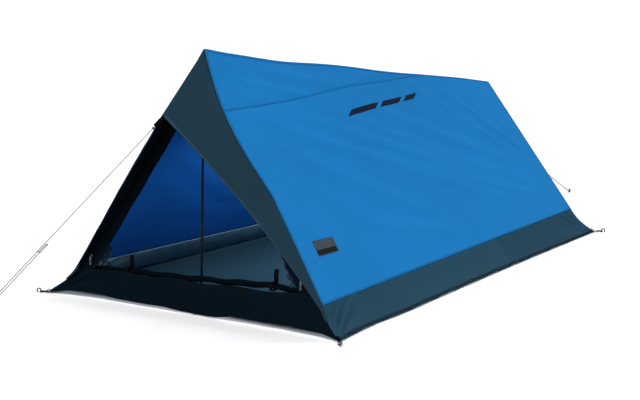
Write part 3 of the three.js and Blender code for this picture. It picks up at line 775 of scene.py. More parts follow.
def seam_line(side, u):
    u = np.asarray(u, float)[..., None]
    return lerp(SEAM_FRONT[side], SEAM_REAR[side], u)


def hem_line(side, u):
    """The skirt's hem, drawn in between its pegs and most of all behind the front one."""
    u = np.asarray(u, float)[..., None]
    straight = lerp(HEM_FRONT[side], HEM_REAR[side], u)
    draw = HEM_DRAW * bow(u) + 0.014 * hump(u, 0.1, 0.08)
    return straight - np.array((side, 0, 0)) * draw


WALL_LENGTH = float(np.linalg.norm(REAR_PEAK - FRONT_PEAK))
WALL_DEPTH = float(np.linalg.norm(SEAM_FRONT[1] - FRONT_PEAK))
REAR_DEPTH = float(np.linalg.norm(SEAM_REAR[1] - REAR_PEAK))


def wall_depth(u):
    return WALL_DEPTH + (REAR_DEPTH - WALL_DEPTH) * u


def fold(x, y, ends, width, height):
    """A long low fold between two points of a cloth, in metres: a ridge with a shallow trough beside it."""
    ax, ay, bx, by = ends
    length = math.hypot(bx - ax, by - ay)
    cx, cy = (bx - ax) / length, (by - ay) / length
    along = ((x - ax) * cx + (y - ay) * cy) / length
    beside = ((x - ax) * cy - (y - ay) * cx) / width
    fade = np.sin(np.pi * clamp(along)) ** 0.8
    return height * fade * (np.exp(-beside**2) - 0.6 * np.exp(-((beside - 1.7) ** 2) / 1.4))


def fan(x, y, centre, start, end, count, reach, height, phase=0.0):
    """Folds that spread from a corner between two directions, in degrees, and fade with distance."""
    dx, dy = x - centre[0], y - centre[1]
    r = np.hypot(dx, dy)
    share = (np.degrees(np.arctan2(dy, dx)) - start) / (end - start)
    inside = clamp(4 * share) * clamp(4 * (1 - share))
    rise = (r / reach) * np.exp(1 - r / reach)
    return height * inside * rise * np.sin(2 * np.pi * count * share + phase)


def ripples(x, y, seed, size, height):
    """Soft irregular unevenness from a few waves that cross at different angles."""
    rng = np.random.default_rng(seed)
    total = np.zeros_like(x)
    for _ in range(7):
        angle, phase = rng.uniform(0, math.pi), rng.uniform(0, 2 * math.pi)
        pitch = size * rng.uniform(0.6, 1.7)
        total += np.sin(2 * math.pi * (x * math.cos(angle) + y * math.sin(angle)) / pitch + phase)
    return height * total / 7


# Long folds of the right wall, as shares along and down it, then width and height in metres.
WALL_FOLDS = [
    ((0.02, 0.24, 0.80, 0.84), 0.028, 0.0072),
    ((0.14, 0.23, 0.84, 0.74), 0.032, 0.0070),
    ((0.04, 0.34, 0.55, 0.88), 0.034, 0.0062),
    ((0.26, 0.20, 0.92, 0.76), 0.024, 0.0054),
    ((0.00, 0.45, 0.40, 0.92), 0.038, 0.0046),
    ((0.34, 0.42, 0.96, 0.90), 0.022, 0.0052),
    ((0.42, 0.18, 0.95, 0.66), 0.026, 0.0050),
    ((0.64, 0.04, 0.98, 0.70), 0.024, 0.0066),
    ((0.74, 0.04, 1.00, 0.62), 0.022, 0.0058),
    ((0.84, 0.08, 1.00, 0.78), 0.020, 0.0044),
    ((0.10, 0.05, 0.50, 0.12), 0.022, 0.0036),
    ((0.06, 0.12, 0.30, 0.17), 0.018, 0.0040),
    ((0.20, 0.74, 0.60, 0.94), 0.028, 0.0034),
]
# The line where an upper panel is joined in, from the front edge up to the ridge.
PANEL_LINE = (0.0, 0.252, 0.715, 0.0)


def wall_relief(side, u, v):
    x = u * WALL_LENGTH
    y = v * wall_depth(u)
    total = np.zeros_like(x)
    for k, (ends, width, height) in enumerate(WALL_FOLDS):
        a, b, c, d = ends
        if side < 0:
            height = 0.45 * height
            shift = 0.04 * math.sin(3.7 * k + 1)
            a, c, b, d = a + shift, c + shift, b + 0.5 * shift, d - 0.5 * shift
        ends = (a * WALL_LENGTH, b * wall_depth(a), c * WALL_LENGTH, d * wall_depth(c))
        total += fold(x, y, ends, width, height)
    total += fan(x, y, (WALL_LENGTH, REAR_DEPTH), 180, 262, 6, 0.5, 0.0040)
    total += fan(x, y, (0, WALL_DEPTH), 272, 350, 5, 0.16, 0.0026, 1.0)
    total += fan(x, y, (0, 0), 8, 84, 6, 0.12, 0.0022, 2.0)
    total += ripples(x, y, 11 + side, 0.42, 0.0016) + ripples(x, y, 31 + side, 0.11, 0.0006)
    # the panel line is drawn in, with small puckers along it
    ax, ay, bx, by = PANEL_LINE
    level = ay + (by - ay) * (u - ax) / (bx - ax)
    gap = (v - level) * wall_depth(u)
    ends = clamp((0.72 - u) * 12)
    strength = 0.25 + hump(u, 0.09, 0.03) + 0.8 * hump(u, 0.2, 0.04) + 0.5 * hump(u, 0.5, 0.06)
    puckers = strength * np.sin(u * 170 + 4 * np.sin(u * 29)) * hump(gap, 0, 0.022)
    total += ends * (0.0011 * puckers - 0.0026 * hump(gap, 0, 0.012))
    edge = clamp(u * 26) * clamp((1 - u) * 26) * clamp(v * 16) * clamp((1 - v) * 20)
    # between its tight edges the whole wall hangs in by a few millimetres
    hang = -0.009 * np.sin(math.pi * clamp(u)) * np.sin(math.pi * clamp(v))
    return total * edge + hang


def edge_shift(side, v):
    """How a wall's front edge stands off the straight line to its foot, v of the way down."""
    if side < 0:
        return RIDGE_WAY * LEFT_EDGE_SLACK * np.sin(np.pi * clamp(v) ** 1.5)[..., None]
    belly = EDGE_CURVE * np.sin(np.pi * clamp(v / EDGE_CURVE_FOOT))
    slack = EDGE_SLACK * np.sin(np.pi * clamp((v - EDGE_CURVE_FOOT) / (1 - EDGE_CURVE_FOOT)))
    return -RIDGE_WAY * (belly - slack)[..., None]


def wall_base(side, u, v):
    top, foot = ridge_line(u), seam_line(side, u)
    return lerp(top, foot, v[..., None]) + edge_shift(side, v) * ((1 - clamp(u)) ** 8)[..., None]


RIDGE_ROUND = 0.0015


def wall_surface(side, u, v):
    """Points of a wall and its outward normals, at shares u along it and v down it."""
    u, v = grid(u, v)
    step = 1e-4
    base = wall_base(side, u, v)
    along = wall_base(side, u + step, v) - base
    down = wall_base(side, u, v + step) - base
    normal = unit(np.cross(down, along)) * side
    points = base + normal * wall_relief(side, u, v)[..., None]
    slope = abs(SEAM_FRONT[1][2] - FRONT_PEAK[2]) / SEAM_FRONT[1][0]
    x = np.abs(points[..., 0])
    points[..., 2] -= slope * (np.hypot(x, RIDGE_ROUND) - x)
    return points, normal


def add_canopy():
    """One continuous sheet from the left seam over the ridge to the right seam."""
    u = np.linspace(0, 1, 260)
    down = np.concatenate([np.linspace(0, 0.03, 7)[:-1], np.linspace(0.03, 1, 116)])
    right, _ = wall_surface(1, u[None, :], down[:, None])
    left, _ = wall_surface(-1, u[None, :], down[1:, None])
    rows = np.concatenate([left[::-1], right])
    canopy = cloth("canopy", rows, LOOKS["roof"], LOOKS["roof_inside"])
    place_piece(canopy, "tent", ["roof_left", "roof_right"])


# ---- Skirts ----
# The strips' mean width from seam to hem. The left one reaches further out, to its front peg.
SKIRT_JOIN = 0.63  # share along the side where the skirt is pieced together
CORNER_REACH = 0.14


def skirt_surface(side, u, v):
    """A side skirt, 0 at its seam and 1 at its hem, curved in below the seam and flared to its pegs."""
    u, v = grid(u, v)
    top, hem = seam_line(side, u), hem_line(side, u)
    base = lerp(top, hem, v[..., None])
    along = unit(np.gradient(base, axis=1))
    down = unit(np.gradient(base, axis=0))
    normal = unit(np.cross(down, along)) * side
    x = u * WALL_LENGTH
    h = np.linalg.norm(hem - top, axis=-1)
    y = (1 - v) * h
    total = fan(x, y, (0, 0), 4, 86, 4, 0.10, 0.0050)
    total += fan(WALL_LENGTH - x, y, (0, 0), 4, 86, 4, 0.11, 0.0050, 0.8)
    total += ripples(x, y * 0.4, 52 + side, 0.16, 0.0022) * v
    total += ripples(x, y, 71 + side, 0.07, 0.0008)
    total -= 0.004 * np.sin(math.pi * v) + 0.002 * hump(x, SKIRT_JOIN * WALL_LENGTH, 0.012)
    total *= clamp(v * 8) * clamp(u * 30) * clamp((1 - u) * 30)
    rise = 0.0035 * (1 + np.sin(x * 31 + side) * 0.6 + 0.4 * np.sin(x * 67)) * bow(u) * v**6
    front = hump(x, 0, CORNER_REACH)[..., None] * corner_bow(side, False)
    rear = hump(WALL_LENGTH - x, 0, CORNER_REACH)[..., None] * corner_bow(side, True)
    points = base + normal * total[..., None] + (front + rear) * np.sin(math.pi * v)[..., None]
    points[..., 2] = np.maximum(points[..., 2] + rise, 0.0016)
    return points, normal


def add_skirts():
    front, mid, rear = np.linspace(0, 0.1, 26), np.linspace(0.1, 0.9, 120), np.linspace(0.9, 1, 26)
    u = np.concatenate([front[:-1], mid[:-1], rear])
    v = np.linspace(0, 1, 17)
    for name, side in SIDES.items():
        rows, _ = skirt_surface(side, u[None, :], v[:, None])
        skirt = cloth(f"skirt_{name}_cloth", rows, LOOKS["skirt"], LOOKS["skirt_inside_painted_light"])
        skirt.data.materials.append(LOOKS["skirt_panel"])
        skirt.data.materials.append(LOOKS["skirt_inside_painted_light"])
        # the front length of the skirt is cut from a slightly greener cloth
        on_panel = np.tile(np.where(u[:-1] < SKIRT_JOIN, 2, 0), len(v) - 1)
        skirt.data.polygons.foreach_set("material_index", on_panel)
        place_piece(skirt, "tent", [f"skirt_{name}"])


# ---- Front and rear edges shared by neighbouring panels ----
CORNER_BOW = 0.012


def corner_bow(side, rear):
    """How far, and which way, a skirt's corner edge curves in between its seam and its peg."""
    return -CORNER_BOW * unit(np.array((side * 0.8, 0.35 if rear else -0.2, 0.25)))


def front_edge(side, t, curved=True):
    """The front edge of wall and skirt, 0 at the peak, WALL_SHARE at the seam and 1 at the hem corner."""
    t = np.asarray(t, float)
    v = clamp(t / WALL_SHARE)
    upper = lerp(FRONT_PEAK, SEAM_FRONT[side], v[..., None])
    if curved:
        upper = upper + edge_shift(side, v)
    share = clamp((t - WALL_SHARE) / (1 - WALL_SHARE))[..., None]
    lower = lerp(SEAM_FRONT[side], HEM_FRONT[side], share) + corner_bow(side, False) * np.sin(np.pi * share)
    return np.where(t[..., None] < WALL_SHARE, upper, lower)


WALL_SHARE = 0.875


def strip_on(
    name,
    surface,
    u_range,
    v_range,
    look,
    slot,
    across_u=False,
    lift=0.0007,
    thickness=0.0014,
    counts=(160, 3),
):
    """A narrow band that follows a surface, standing a little proud of it, such as a seam or a hem."""
    along, across = counts
    if across_u:
        u = np.linspace(*u_range, across)[:, None]
        v = np.linspace(*v_range, along)[None, :]
    else:
        u = np.linspace(*u_range, along)[None, :]
        v = np.linspace(*v_range, across)[:, None]
    points, normals = surface(u, v)
    obj = cloth(name, points + normals * lift, look, thickness=thickness)
    return place_piece(obj, "tent")


# ---- Front hood ----
HOOD_REACH = 0.93
HOOD_CURVE = 0.026
# Folds of each half: their ends in metres along it and out from the wall, then width and height.
HOOD_FOLDS = [
    ((0.02, 0.26, 0.70, 0.05), 0.018, 0.0046),
    ((0.10, 0.28, 0.95, 0.02), 0.014, 0.0036),
    ((0.00, 0.16, 0.50, 0.06), 0.016, 0.0034),
    ((0.30, 0.14, 0.90, 0.03), 0.012, 0.0030),
]


def hood_base(side, u, w):
    t = u * HOOD_REACH
    wall = front_edge(side, t)
    straight = front_edge(side, t, curved=False)
    spread = unit(front_edge(side, np.array(HOOD_REACH)) - FRONT_PEAK)
    forward = HOOD_TIP - FRONT_PEAK
    in_plane = unit(forward - spread * (forward @ spread))
    gap = forward * (1 - u)[..., None] + np.array((0, -0.010, 0)) * u[..., None]
    free = straight + gap - in_plane * (HOOD_CURVE * bow(u))[..., None]
    return lerp(wall, free, w[..., None])


def hood_surface(side, u, w):
    """Half of the hood: u runs from its ridge down to its foot, w from the wall to its free edge."""
    u, w = grid(u, w)
    step = 1e-3
    base = hood_base(side, u, w)
    down = hood_base(side, np.minimum(u + step, 1.0), w) - hood_base(side, np.maximum(u - step, 0.0), w)
    out = hood_base(side, u, w + step) - base
    normal = unit(np.cross(out, down)) * side
    x, y = u * 1.1, w * 0.3 * (1 - u)
    relief = sum(fold(x, y, *facts) for facts in HOOD_FOLDS)
    relief = relief + fan(x, y, (0, 0.3), 270, 350, 6, 0.07, 0.0022)
    relief = relief + ripples(x, y, 91 + side, 0.16, 0.0014) - 0.006 * np.sin(np.pi * w) * bow(u)
    relief = relief * clamp(u * 14) * clamp(w * 8)
    return base + normal * relief[..., None], normal


def add_hood():
    u = np.linspace(0, 1, 90)
    w = np.linspace(0, 1, 26)
    right, _ = hood_surface(1, u[None, :], w[:, None])
    left, _ = hood_surface(-1, u[None, 1:], w[:, None])
    rows = np.concatenate([left[:, ::-1], right], axis=1)
    hood = cloth("hood", rows, LOOKS["hood"], LOOKS["hood_inside"])
    place_piece(hood, "tent", ["hood_left", "hood_right"])
    hem = {"lift": 0.0008, "thickness": 0.0022, "counts": (120, 4)}
    for name, side in SIDES.items():
        half = partial(hood_surface, side)
        strip_on(f"hood_hem_painted_highlight_{name}", half, (0.012, 1), (0.955, 1.0), LOOKS["hood_hem_painted_highlight"], "hood_fabric", **hem)


# ---- Entrance panel, bands and zips ----
ENTRANCE_LEAN = (FRONT_PEAK[1] - HEM_FRONT[1][1]) / (FRONT_PEAK[2] - HEM_FRONT[1][2])
ENTRANCE_OUT = unit(np.array((0, -1.0, ENTRANCE_LEAN)))
SILL_TOP = {-1: float(extreme("front_sill", (-1, 0, 2))[2]), 1: float(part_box("front_sill")[1].z)}
# How far the hem of the entrance panel stands off the ground, from the left corner to the right one.
HEM_LIFTS = [
    (-0.62, 0.0), (-0.55, 0.013), (-0.48, 0.019), (-0.40, 0.018), (-0.33, 0.009),
    (-0.19, 0.007), (-0.12, 0.009), (-0.05, 0.002), (0.09, 0.001), (0.13, 0.008),
    (0.16, 0.015), (0.26, 0.014), (0.42, 0.016), (0.54, 0.014), (0.62, 0.0),
]
HEM_SET_BACK = 0.034  # how far behind the corners the middle of the hem lies
SILL_HALF_WIDTH = 0.62
POLE_MARK_X = 0.063  # where the panel lies against the pole's foot


def edge_at_height(side, z):
    """The point of the front edge at a height."""
    t = np.linspace(0, 1, 400)
    line = front_edge(side, t, curved=False)
    return np.stack([np.interp(z, line[::-1, 2], line[::-1, k]) for k in range(3)], axis=-1)


def sill_surface(s, v):
    """The panel across the foot of the entrance: s from left to right, v from its top to its hem."""
    s, v = grid(s, v)
    inset = np.array((0.004, 0, 0))
    left = edge_at_height(-1, SILL_TOP[-1] * (1 - v)) + inset
    right = edge_at_height(1, SILL_TOP[1] * (1 - v)) - inset
    base = lerp(left, right, s[..., None])
    x, z = base[..., 0], base[..., 2]
    knots = np.array(HEM_LIFTS)
    lift = np.interp(x, knots[:, 0], knots[:, 1]) * v**3
    sag = (0.003 * bow(s) + 0.003 * np.sin(s * 26)) * (1 - v) ** 2
    back = HEM_SET_BACK * v * (1 - np.abs(2 * s - 1) ** 5)
    out = 0.004 * np.sin(np.pi * v) * bow(s) + 0.0035 * hump(x, POLE_MARK_X, 0.007) * clamp(4 * v)
    out = out + ripples(x, z * 0.7, 131, 0.24, 0.0034) + 0.0022 * np.sin(x * 47) * v * bow(s)
    for from_corner in (x + SILL_HALF_WIDTH, SILL_HALF_WIDTH - x):
        out = out + fan(from_corner, z, (0, 0), 6, 80, 4, 0.12, 0.004)
    ends = clamp(s * 30) * clamp((1 - s) * 30)
    points = base + ENTRANCE_OUT * (out * ends)[..., None]
    points[..., 2] += lift - sag
    points[..., 1] += back
    points[..., 2] = np.maximum(points[..., 2], 0.0016)
    return points, np.broadcast_to(ENTRANCE_OUT, points.shape)


def add_sill():
    rows, _ = sill_surface(np.linspace(0, 1, 220)[None, :], np.linspace(0, 1, 22)[:, None])
    sill = cloth("entrance_sill", rows, LOOKS["sill"])
    place_piece(sill, "tent", ["front_sill"])
    # a trapezoid: 1.24 m at the hem, about 1.05 m at the top, 143 mm high at one end and 115 mm at the other
    u_range, v_range = (0.004, 0.996), (0.93, 0.998)
    strip_on("sill_hem", sill_surface, u_range, v_range, LOOKS["sill_seam"], "sill_fabric", counts=(220, 3))


BAND_TOP = float(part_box("door_band_right")[1].z)
BAND_INSET = 0.066
ZIP_INSET = 0.031


def entrance_y(z):
    return HEM_FRONT[1][1] + ENTRANCE_LEAN * z


def level_share(side):
    """How far to move sideways for each unit of distance from the entrance's sloping edge."""
    return math.hypot(1, abs(SEAM_FRONT[side][0]) / (FRONT_PEAK[2] - SEAM_FRONT[side][2]))


def band_surface(side, t, w):
    """The dark band beside the entrance: t from the sill to the top, w from its outer to its inner edge."""
    t, w = grid(t, w)
    z = lerp(SILL_TOP[side] - 0.016, BAND_TOP, t)
    edge = edge_at_height(side, z)
    inset = (0.003 + w * (BAND_INSET - 0.003)) * level_share(side)
    x = np.maximum(np.abs(edge[..., 0]) - inset, 0.0012) * side
    base = np.stack([x, entrance_y(z), z], axis=-1)
    flutter = 0.004 * w * np.sin(z * 21 + side) + ripples(z, w * 0.05, 151 + side, 0.13, 0.0016) * w
    flutter = flutter * clamp(t * 8) * clamp((1 - t) * 8)
    track = hump(w, ZIP_INSET / BAND_INSET, 0.12)
    points = base - ENTRANCE_OUT * (np.abs(flutter) * (1 - track))[..., None]
    return points, np.broadcast_to(ENTRANCE_OUT, base.shape)


def zip_line(side, heights, out):
    """Points of the zip's middle line at some heights, stood off the band."""
    edge = edge_at_height(side, heights)
    x = (np.abs(edge[:, 0]) - ZIP_INSET * level_share(side)) * side
    return np.stack([x, entrance_y(heights), heights], axis=-1) + ENTRANCE_OUT * out


def add_zip(name, side):
    low, high = (c.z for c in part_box(f"zip_track_{name}"))
    line = zip_line(side, np.linspace(low, high, 60), 0.0006)
    way = unit(line[-1] - line[0])
    across = np.cross(ENTRANCE_OUT, way)
    section = flat_section(0.016, 0.0006)
    tape = sweep(f"zip_tape_{name}", line, across, ENTRANCE_OUT, section, LOOKS["zip_tape"])
    place_piece(tape, "tent", [f"zip_track_{name}"])
    pitch = 0.0021
    count = int((high - low) / way[2] / pitch)
    verts, faces = [], []
    for k in range(count):
        hand = 1 if k % 2 else -1
        foot = line[0] + way * pitch * k + ENTRANCE_OUT * 0.0005
        for a in (-0.0007, 0.0007):
            for b, c in ((-0.0008, 0), (0.0026, 0), (0.0026, 0.0010), (0.0006, 0.0014), (-0.0008, 0.0010)):
                verts.append(foot + way * a + across * b * hand + ENTRANCE_OUT * c)
        m = 10 * k
        faces.append(tuple(m + j for j in range(5)))
        faces.append(tuple(m + 5 + j for j in range(4, -1, -1)))
        for j in range(5):
            n = (j + 1) % 5
            faces.append((m + j, m + 5 + j, m + 5 + n, m + n))
    teeth = recalculate(make_object(f"zip_coil_{name}", verts, faces, [LOOKS["zip_teeth"]]))
    place_piece(teeth, "tent")


def ease_edges(obj):
    edge = obj.modifiers.new("eased", "BEVEL")
    edge.width = 0.0004
    edge.segments = 2
    return edge


def add_slider(name):
    """A zip slider: two shields over the coil, the post between them and the bail that carries the pull."""
    node = f"zip_slider_{name}"
    place = middle(node)
    way = joint_axis(node)
    out = ENTRANCE_OUT
    across = np.cross(out, way)
    place = place - out * 0.00225
    shield = [(-0.0085, -0.0026), (-0.0078, -0.0034), (0.0005, -0.0034)]
    shield += [(0.0045, -0.0045), (0.0078, -0.0038), (0.0085, -0.0016)]
    shield = shield + [(x, -y) for x, y in reversed(shield)]
    post = [(0.0030, -0.0012), (0.0080, -0.0008), (0.0080, 0.0008), (0.0030, 0.0012)]
    parts = []
    for part, height, outline, thick in (
        ("under", 0.0, shield, 0.0009),
        ("over", 0.0026, shield, 0.0010),
        ("post", 0.0006, post, 0.0024),
    ):
        centres = [place + out * height, place + out * (height + thick)]
        parts.append(sweep(f"{node}_{part}", centres, way, across, outline, LOOKS["steel"]))
        ease_edges(parts[-1])
    bail = []
    for a in np.linspace(math.pi, 0, 13):
        bail.append(place + way * (0.0055 * math.cos(a)) + out * (0.0034 + 0.0043 * math.sin(a)))
    parts.append(tube(f"{node}_bail", bail, 0.0007, LOOKS["steel"], 8))
    slider = join(f"slider_{name}", parts)
    place_piece(slider, node, [node])
    pull = frame["nodes"][f"zip_pull_{name}"]
    assign(pull, LOOKS["steel"])
    ease_edges(pull).limit_method = "ANGLE"


def assign(obj, look):
    for slot in obj.material_slots:
        slot.material = look


def add_entrance():
    add_sill()
    for name, side in SIDES.items():
        rows, _ = band_surface(side, np.linspace(0, 1, 110)[None, :], np.linspace(0, 1, 14)[:, None])
        band = cloth(f"entrance_band_{name}", rows, LOOKS["sill"])
        place_piece(band, "tent", [f"door_band_{name}"])
        add_zip(name, side)
        add_slider(name)


# ---- Rear wall, its vent and the vent's hood ----
REAR_OUT = unit(np.cross(SEAM_REAR[1] - REAR_PEAK, SEAM_REAR[-1] - REAR_PEAK))
REAR_OUT = REAR_OUT * np.sign(REAR_OUT[1])


def around_triangle(corners, per_side):
    line = []
    for k in range(3):
        a, b = corners[k], corners[(k + 1) % 3]
        line.extend(lerp(a, b, j / per_side) for j in range(per_side))
    return np.array(line)


def add_rear_wall():
    node = "rear_vent_mesh"
    hole = [extreme(node, (-1, 0, -1)), extreme(node, (1, 0, -1)), on_axis(extreme(node, (0, 0, 1)))]
    outline = [SEAM_REAR[-1], SEAM_REAR[1], REAR_PEAK - np.array((0, 0, 0.004))]
    per_side = 48
    inner, outer = around_triangle(hole, per_side), around_triangle(outline, per_side)
    share = np.linspace(0, 1, 34)[:, None, None]
    rows = lerp(outer[None], inner[None], share)
    x, z = rows[..., 0], rows[..., 2]
    relief = ripples(x, z, 171, 0.3, 0.0032) + ripples(x, z, 172, 0.09, 0.0009)
    relief = relief + fan(x, z, (0, REAR_PEAK[2]), 236, 304, 5, 0.22, 0.0024)
    for side in (-1, 1):
        relief = relief + fan(side * x + SEAM_REAR[1][0], z - SEAM_REAR[1][2], (0, 0), 4, 52, 4, 0.2, 0.0030)
    edge = clamp(share[..., 0] * 9) * clamp((1 - share[..., 0]) * 12)
    rows = rows + REAR_OUT * (relief * edge)[..., None]
    rows = np.concatenate([rows, rows[:, :1]], axis=1)
    wall = cloth("rear_panel", rows, LOOKS["roof"], LOOKS["roof_inside"])
    place_piece(wall, "tent", ["rear_wall"])
    add_vent(hole)


def triangle_grid(a, b, c, count):
    """Rows of points from side a-b to corner c."""
    share = np.linspace(0, 1, count)
    base = lerp(a, b, share[None, :, None])
    return lerp(base, np.broadcast_to(c, base.shape), np.linspace(0, 0.985, count)[:, None, None])


def add_vent(hole):
    left, right, top = hole
    rows = triangle_grid(left, right, top, 30)
    bulge = np.sin(np.pi * np.linspace(0, 1, 30))
    rows = rows - REAR_OUT * (0.004 * bulge[:, None] * bulge[None, :])[..., None]
    net = cloth("vent_net", rows, LOOKS["vent_net"], thickness=0.0004)
    place_piece(net, "tent", ["rear_vent_mesh"])
    border = around_triangle([lerp(p, (left + right + top) / 3, -0.03) for p in hole], 24) + REAR_OUT * 0.0006
    way = tangents(border, closed=True)
    across = np.cross(REAR_OUT, way)
    strap = flat_section(0.010, 0.0016)
    binding = sweep("vent_binding", border, across, REAR_OUT, strap, LOOKS["roof_seam"], closed=True)
    place_piece(binding, "tent")
    top_point = on_axis(extreme("vent_hood_right", (0, -1, 1)))
    tip = on_axis(extreme("vent_hood_right", (0, 1, 0)))
    parts = []
    for name, side in SIDES.items():
        corner = extreme(f"vent_hood_{name}", (side, 0, -0.2))
        rows = triangle_grid(top_point, tip, corner, 26)
        share = np.linspace(0, 1, 26)
        outward = unit(np.cross(tip - top_point, corner - top_point)) * side
        arch = np.sin(np.pi * share)
        belly = 0.006 * arch[:, None] * arch[None, :]
        belly = belly + ripples(rows[..., 0], rows[..., 2], 181 + side, 0.08, 0.0012) * arch[:, None]
        rows = rows + outward * belly[..., None]
        parts.append(cloth(f"vent_hood_{name}_cloth", rows, LOOKS["hood"], LOOKS["hood_inside"]))
    for obj, name in zip(parts, SIDES):
        place_piece(obj, "tent", [f"vent_hood_{name}"])
        corner = extreme(f"vent_hood_{name}", (SIDES[name], 0, -0.2))
        edge_points = smooth_line([tip, lerp(tip, corner, 0.97)], 24) + np.array((0, 0.0008, 0))
        way = tangents(edge_points)
        across, strap = np.cross(way, (0, 0, 1)), flat_section(0.006, 0.002)
        hem = sweep(f"vent_hood_hem_{name}", edge_points, across, (0, 0, 1), strap, LOOKS["hood_hem_painted_highlight"])
        place_piece(hem, "tent")


REAR_HALF_WIDTH = 0.528  # half the rear skirt's width at its hem
REAR_SKIRT_HEIGHT = 0.094  # from its seam down the slope to its hem


def add_rear_skirt():
    s = np.linspace(0, 1, 150)[None, :]
    v = np.linspace(0, 1, 17)[:, None]
    top = lerp(SEAM_REAR[-1], SEAM_REAR[1], s[..., None])
    hem = lerp(HEM_REAR[-1], HEM_REAR[1], s[..., None]) - np.array((0, 0.012, 0)) * bow(s)[..., None]
    base = lerp(top, hem, v[..., None])
    left_bow, right_bow = corner_bow(-1, True), corner_bow(1, True)
    near_left, near_right = hump(s, 0, 0.14), hump(1 - s, 0, 0.14)
    curve = near_left[..., None] * left_bow + near_right[..., None] * right_bow
    base = base + curve * np.sin(np.pi * v)[..., None]
    x, h = base[..., 0], (1 - v) * REAR_SKIRT_HEIGHT * np.ones_like(s)
    relief = ripples(x, h, 191, 0.18, 0.0026) * v + 0.003 * np.sin(x * 39) * v**2 * bow(s)
    for from_corner in (x + REAR_HALF_WIDTH, REAR_HALF_WIDTH - x):
        relief = relief + fan(from_corner, h, (0, 0), 6, 84, 4, 0.1, 0.0042)
    relief = relief * clamp(s * 30) * clamp((1 - s) * 30) * clamp(v * 8)
    rows = base + np.array((0, 1.0, 0.09)) * relief[..., None]
    rows[..., 2] = np.maximum(rows[..., 2] + 0.005 * (1 + np.sin(x * 33)) * bow(s) * v**5, 0.0016)
    skirt = cloth("rear_skirt_cloth", rows, LOOKS["skirt"], LOOKS["skirt_inside_painted_light"])
    place_piece(skirt, "tent", ["rear_skirt"])


# ---- Groundsheet ----
FLOOR_FRONT_MARGIN = 0.086  # from the line of the tent's front corners to the groundsheet's edge
FLOOR_REAR_MARGIN = 0.024  # and from its rear corners
TURN_UP_HEIGHT = 0.016  # how high the edge turns up
TURN_UP_LEAN = 0.009  # how far it leans in as it does


def add_groundsheet():
    """A floor whose edge turns up inside the skirts like a shallow tray."""
    u = np.linspace(0, 1, 120)[None, :]
    outer, inner = np.linspace(0.96, 1, 6), np.linspace(-0.96, 0.96, 60)
    s = np.concatenate([-outer[:0:-1], inner[:-1], outer])[:, None]
    left, right = hem_line(-1, u), hem_line(1, u)
    y = lerp(HEM_FRONT[1][1] + FLOOR_FRONT_MARGIN, HEM_REAR[1][1] - FLOOR_REAR_MARGIN, u)
    left_half = -np.interp(y, left[0, :, 1], left[0, :, 0])
    right_half = np.interp(y, right[0, :, 1], right[0, :, 0])
    half = np.where(s < 0, left_half, right_half) + 0.004
    edge = np.maximum(np.abs(s), np.abs(2 * u - 1))
    side_turn = clamp((np.abs(s) - 0.965) / 0.035) ** 1.3
    end_turn = clamp((np.abs(2 * u - 1) - 0.985) / 0.015) ** 1.3
    turn_up = side_turn + end_turn
    z = 0.0012 + TURN_UP_HEIGHT * clamp(turn_up)
    x = half * s - np.sign(s) * TURN_UP_LEAN * clamp(turn_up)
    flat = clamp((1 - edge) * 12)
    swell = ripples(x, y + 0 * x, 201, 0.5, 0.0030) + ripples(x, y + 0 * x, 202, 0.16, 0.0012)
    z = z + flat * np.maximum(swell, 0)
    rows = np.stack(np.broadcast_arrays(x, y, z), axis=-1)
    sheet = cloth("floor_sheet", rows, LOOKS["floor"], thickness=0.0010, upward=True)
    place_piece(sheet, "tent", ["groundsheet"])


# ---- Rolled-down net door ----
ROLL_RADIUS = 0.0135
ROLL_TURNS = 6


def roll_line(count):
    """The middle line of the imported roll, from the middle of its vertices at steps along it."""
    points = vertices("rolled_door")
    order = points[np.argsort(points[:, 0])]
    bands = np.array_split(order, 19)
    centres = np.array([band.mean(0) for band in bands])
    return smooth_line(centres, count)


def add_rolled_door():
    centres = roll_line(120)
    way = tangents(centres)
    across = unit(np.cross(way, (0, 0, 1)))
    upward = np.cross(across, way)
    turns = np.linspace(0, 1, ROLL_TURNS * 16 + 1)[:, None]
    k = np.linspace(0, 1, len(centres))[None, :]
    angle = 2 * math.pi * ROLL_TURNS * turns + 0.5 * np.sin(11 * k) + 0.9 * k
    radius = 0.0025 + (ROLL_RADIUS - 0.0035) * turns**0.8
    creases = 1 + 0.10 * np.sin(2 * angle + 23 * k) * turns + 0.07 * np.sin(3 * angle - 41 * k) * turns
    ends = 1 - 0.35 * hump(k, 0, 0.05) - 0.30 * hump(1 - k, 0, 0.05)
    radius = radius * creases * ends
    drop = 0.003 * np.sin(31 * k) * np.sin(9 * k)
    rows = centres[None] + across[None] * (radius * np.cos(angle) * 1.06)[..., None]
    rows = rows + upward[None] * (radius * np.sin(angle) * 0.92 + drop)[..., None]
    roll = cloth("door_net", rows, LOOKS["net"], thickness=0.0004)
    ruffles = [ruffle("left", -1), ruffle("right", 1)]
    whole = join("rolled_net_door", [apply_modifiers(o) for o in [roll, *ruffles]])
    place_piece(whole, "tent", ["rolled_door"])
    for name in SIDES:
        add_tie(name, centres, way)
    # a soft loop for tying the door back hangs over the roll's left end
    offsets = [(0.008, 0, 0.014), (0.016, -0.017, 0.002), (0.034, -0.019, -0.008), (0.058, -0.016, 0.010)]
    offsets += [(0.070, -0.006, 0.028), (0.084, 0.004, 0.020), (0.092, -0.010, 0.006)]
    loop = tube("tie_back_loop", smooth_line(centres[0] + np.array(offsets), 60), 0.0022, LOOKS["webbing"])
    place_piece(loop, "tent")


def apply_modifiers(obj):
    bpy.context.view_layer.objects.active = obj
    for modifier in list(obj.modifiers):
        bpy.ops.object.modifier_apply(modifier=modifier.name)
    return obj


